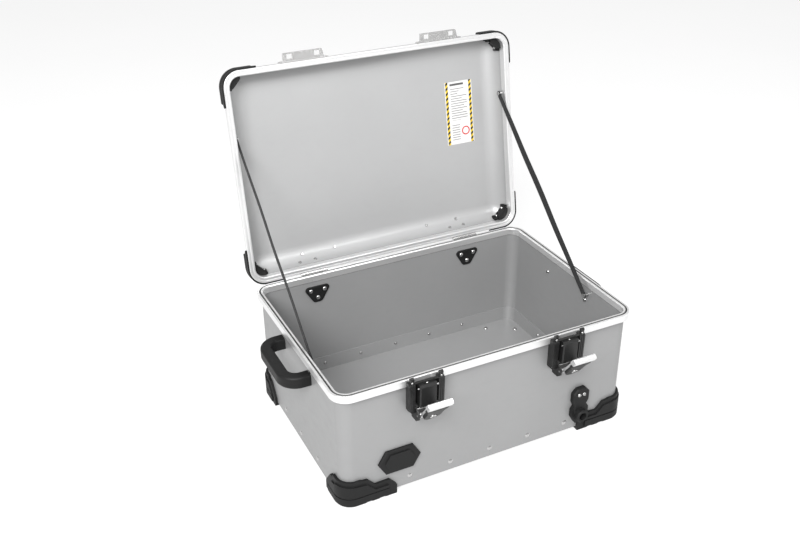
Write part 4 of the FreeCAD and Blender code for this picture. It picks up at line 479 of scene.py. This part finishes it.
def make_strap(side, label):
    """One tape from stud to stud, rounded at its ends and twisted along its middle."""
    low = LOWER_STUD + Vector((side * LOWER_PLANE, 0, 0))
    high = UPPER_STUD + Vector((side * UPPER_PLANE, 0, 0))
    run = high - low
    forward = run.normalized()
    outward = Vector((side, 0, 0))
    sideways = forward.cross(outward).normalized()
    flat = sideways.cross(forward).normalized()
    mesh = bmesh.new()
    uv = mesh.loops.layers.uv.new("tape")
    half = STRAP_WIDTH / 2
    rows = []
    for i in range(STRAP_STEPS + 1):
        t = i / STRAP_STEPS
        distance = -STRAP_END + t * (run.length + 2 * STRAP_END)
        near_end = min(distance + STRAP_END, run.length + STRAP_END - distance)
        width = half
        if near_end < STRAP_END:
            width = half * math.sqrt(max(1 - (1 - near_end / STRAP_END) ** 2, STRAP_TIP))
        sag = STRAP_WAVE * math.sin(math.pi * t) * math.sin(STRAP_WAVES * math.pi * t)
        centre = low + forward * distance + flat * sag
        twist = STRAP_TWIST[side] * math.sin(math.pi * min(max(distance / run.length, 0.0), 1.0))
        across = sideways * math.cos(twist) + flat * math.sin(twist)
        facing = flat * math.cos(twist) - sideways * math.sin(twist)
        front = []
        back = []
        for column, share in STRAP_ACROSS:
            place = centre + across * (column * width)
            front.append((mesh.verts.new(place + facing * (STRAP_THICK * share)), distance, column * width))
            back.append((mesh.verts.new(place - facing * (STRAP_THICK * share)), distance, column * width))
        rows.append(front + back[::-1])
    count = len(rows[0])
    for lower, upper in zip(rows, rows[1:]):
        for k in range(count):
            ring = (lower[k], lower[(k + 1) % count], upper[(k + 1) % count], upper[k])
            face = mesh.faces.new([v for v, _, _ in ring])
            for loop, (_, u, v) in zip(face.loops, ring):
                loop[uv].uv = (u, v)
    for row, flip in ((rows[0], True), (rows[-1], False)):
        order = row[::-1] if flip else row
        face = mesh.faces.new([v for v, _, _ in order])
        for loop, (_, u, v) in zip(face.loops, order):
            loop[uv].uv = (u, v)
    bmesh.ops.recalc_face_normals(mesh, faces=mesh.faces)
    data = bpy.data.meshes.new(label)
    mesh.to_mesh(data)
    mesh.free()
    data.materials.append(WEBBING)
    data.shade_smooth()
    data.set_sharp_from_angle(angle=STRAP_CREASE)
    strap = bpy.data.objects.new(label, data)
    bpy.context.scene.collection.objects.link(strap)
    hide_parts("strap_lower_" + label.split("_")[-1], "strap_upper_" + label.split("_")[-1])
    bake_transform(strap)
    return strap


make_strap(-1, "strap_left")
make_strap(1, "strap_right")


# ---------------------------------------------------------------- studio

FLOOR_REACH = 12.0
FLOOR_GAP = 0.0002          # keeps the floor off the feet
FLOOR_GLOW = 0.62


def make_floor():
    """A wide pale floor under the feet."""
    level = cad_box[0].z
    mesh = bmesh.new()
    bmesh.ops.create_grid(mesh, x_segments=2, y_segments=2, size=FLOOR_REACH)
    data = bpy.data.meshes.new("studio_floor")
    mesh.to_mesh(data)
    mesh.free()
    floor = bpy.data.objects.new("studio_floor", data)
    floor.location.z = level - FLOOR_GAP
    bpy.context.scene.collection.objects.link(floor)
    s = Shader("pale_floor")
    cloud = s.noise(s.place(), 1.5, 3.0)
    colour = s.blend(cloud, grey(0.33), grey(0.35))
    data.materials.append(s.surface(Base_Color=colour, Roughness=0.9, Emission_Color=grey(1.0),
                                    Emission_Strength=FLOOR_GLOW))


def area_light(name, place, aim, size, power):
    light = bpy.data.lights.new(name, "AREA")
    light.shape = "RECTANGLE"
    light.size, light.size_y = size
    light.energy = power
    obj = bpy.data.objects.new(name, light)
    obj.location = place
    obj.rotation_mode = "QUATERNION"
    obj.rotation_quaternion = (Vector(aim) - Vector(place)).to_track_quat("-Z", "Y")
    bpy.context.scene.collection.objects.link(obj)


WORLD_STRENGTH = 0.62


def make_world():
    world = bpy.data.worlds.new("studio")
    bpy.context.scene.world = world
    world.use_nodes = True
    background = world.node_tree.nodes["Background"]
    background.inputs["Color"].default_value = (1.0, 1.0, 1.0, 1.0)
    background.inputs["Strength"].default_value = WORLD_STRENGTH


CAMERA_AT = Vector((-0.76974, -1.40203, 1.18446))
CAMERA_RIGHT = Vector((0.89634, -0.44329, -0.00879))
CAMERA_FORWARD = Vector((0.38483, 0.78767, -0.48113))
CAMERA_LENS = 43.09
CAMERA_SHIFT = (-0.00013, 0.00032)


def make_camera():
    """Left of the case and above it, looking down into it."""
    data = bpy.data.cameras.new("camera")
    data.lens = CAMERA_LENS
    data.sensor_width = 36.0
    data.clip_start = 0.05
    data.clip_end = 60.0
    camera = bpy.data.objects.new("camera", data)
    data.shift_x, data.shift_y = CAMERA_SHIFT
    right = CAMERA_RIGHT.normalized()
    forward = CAMERA_FORWARD.normalized()
    right = (right - forward * right.dot(forward)).normalized()
    up = right.cross(forward)
    turn = Matrix((right, up, -forward)).transposed()
    camera.matrix_world = Matrix.Translation(CAMERA_AT) @ turn.to_4x4()
    bpy.context.scene.collection.objects.link(camera)
    bpy.context.scene.camera = camera


make_floor()
make_world()
# name, place, aim, size and power of each light
for light in (
        ("key", (-2.1, -2.3, 2.6), (0, 0, 0.3), (1.6, 1.6), 225),
        ("fill", (2.6, -1.4, 1.6), (0, 0, 0.3), (1.6, 1.6), 10),
        ("top", (0.2, 0.3, 3.0), (0, 0, 0.2), (2.4, 2.4), 20),
        ("inside", (0.05, -0.50, 1.05), (0, 0.2, 0.12), (0.9, 0.4), 6.0)):
    area_light(*light)
make_camera()
bpy.context.scene.view_settings.view_transform = "Standard"
